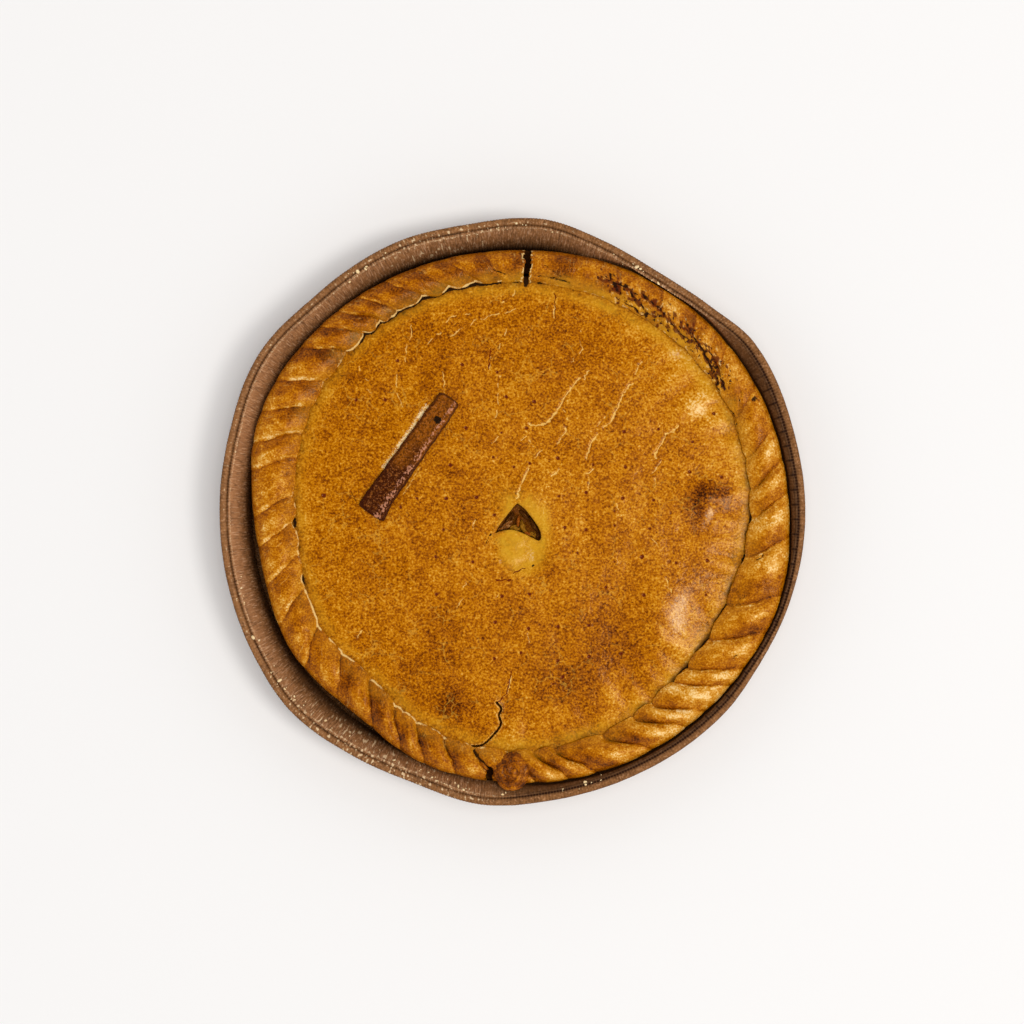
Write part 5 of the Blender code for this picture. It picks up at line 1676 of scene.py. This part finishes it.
stage = {
    "floorSize": 6.0,
    "floor": "EEF1F6",
    # a lamp that gives the shine and the modelling, and a wide soft box that only fills
    "lamps": {
        "key": {"power": 76.0, "size": 1.4, "distance": 5.0, "elevation": 60, "side": 16, "shine": True},
        "fill": {"power": 318.0, "size": 6.0, "distance": 8.0, "elevation": 84, "side": 14, "shine": False},
    },
    "lampColour": (1.0, 0.935, 0.85),
    "world": (1.0, 0.98, 0.965),
    "worldStrength": 0.63,
    "zenithStrength": 0.08,
    "pixel": 0.512 * mm,
    "pixels": 1024,
    "lens": 85,
    "sensor": 36,
    "focusHeight": 30 * mm,
}


def makeStage(look):
    bm = bmesh.new()
    bmesh.ops.create_grid(bm, x_segments=1, y_segments=1, size=look["floorSize"] / 2)
    mesh = toMesh("floor", bm)
    floor = bpy.data.objects.new("floor", mesh)
    scene.collection.objects.link(floor)
    material = bpy.data.materials.new("pale_floor")
    material.use_nodes = True
    shader = material.node_tree.nodes["Principled BSDF"]
    shader.inputs["Base Color"].default_value = toLinear(look["floor"])
    shader.inputs["Roughness"].default_value = 0.7
    shader.inputs["Specular IOR Level"].default_value = 0.2
    mesh.materials.append(material)

    world = bpy.data.worlds.new("studio")
    world.use_nodes = True
    tree = world.node_tree
    background = tree.nodes["Background"]
    background.inputs[0].default_value = (*look["world"], 1)
    # the studio is dimmer straight above, where the camera hangs
    direction = addNode(tree, "TexCoord").outputs["Generated"]
    rise = addNode(tree, "SeparateXYZ", {0: direction}).outputs[2]
    strength = addNode(
        tree, "MapRange", {0: rise, 1: 0.70, 2: 0.90, 3: look["worldStrength"], 4: look["zenithStrength"]}
    ).outputs[0]
    tree.links.new(strength, background.inputs[1])
    scene.world = world

    for name, given in look["lamps"].items():
        lamp = bpy.data.lights.new(name, "AREA")
        lamp.shape = "DISK"
        lamp.size = given["size"]
        lamp.energy = given["power"]
        lamp.color = look["lampColour"]
        light = bpy.data.objects.new(name, lamp)
        rise, side = math.radians(given["elevation"]), math.radians(given["side"])
        towards = Vector((math.cos(rise) * math.cos(side), -math.cos(rise) * math.sin(side), math.sin(rise)))
        light.location = towards * given["distance"]
        light.rotation_euler = towards.to_track_quat("Z", "Y").to_euler()
        light.visible_glossy = given["shine"]
        scene.collection.objects.link(light)

    camera = bpy.data.cameras.new("camera")
    camera.lens = look["lens"]
    camera.sensor_width = look["sensor"]
    camera.clip_end = 20
    eye = bpy.data.objects.new("camera", camera)
    distance = look["pixel"] * look["pixels"] * look["lens"] / look["sensor"]
    eye.location = (pieShift[0], pieShift[1], look["focusHeight"] + distance)
    scene.collection.objects.link(eye)
    scene.camera = eye
    scene.view_settings.view_transform = "Standard"
    print("stage, lights and camera made")


makeStage(stage)
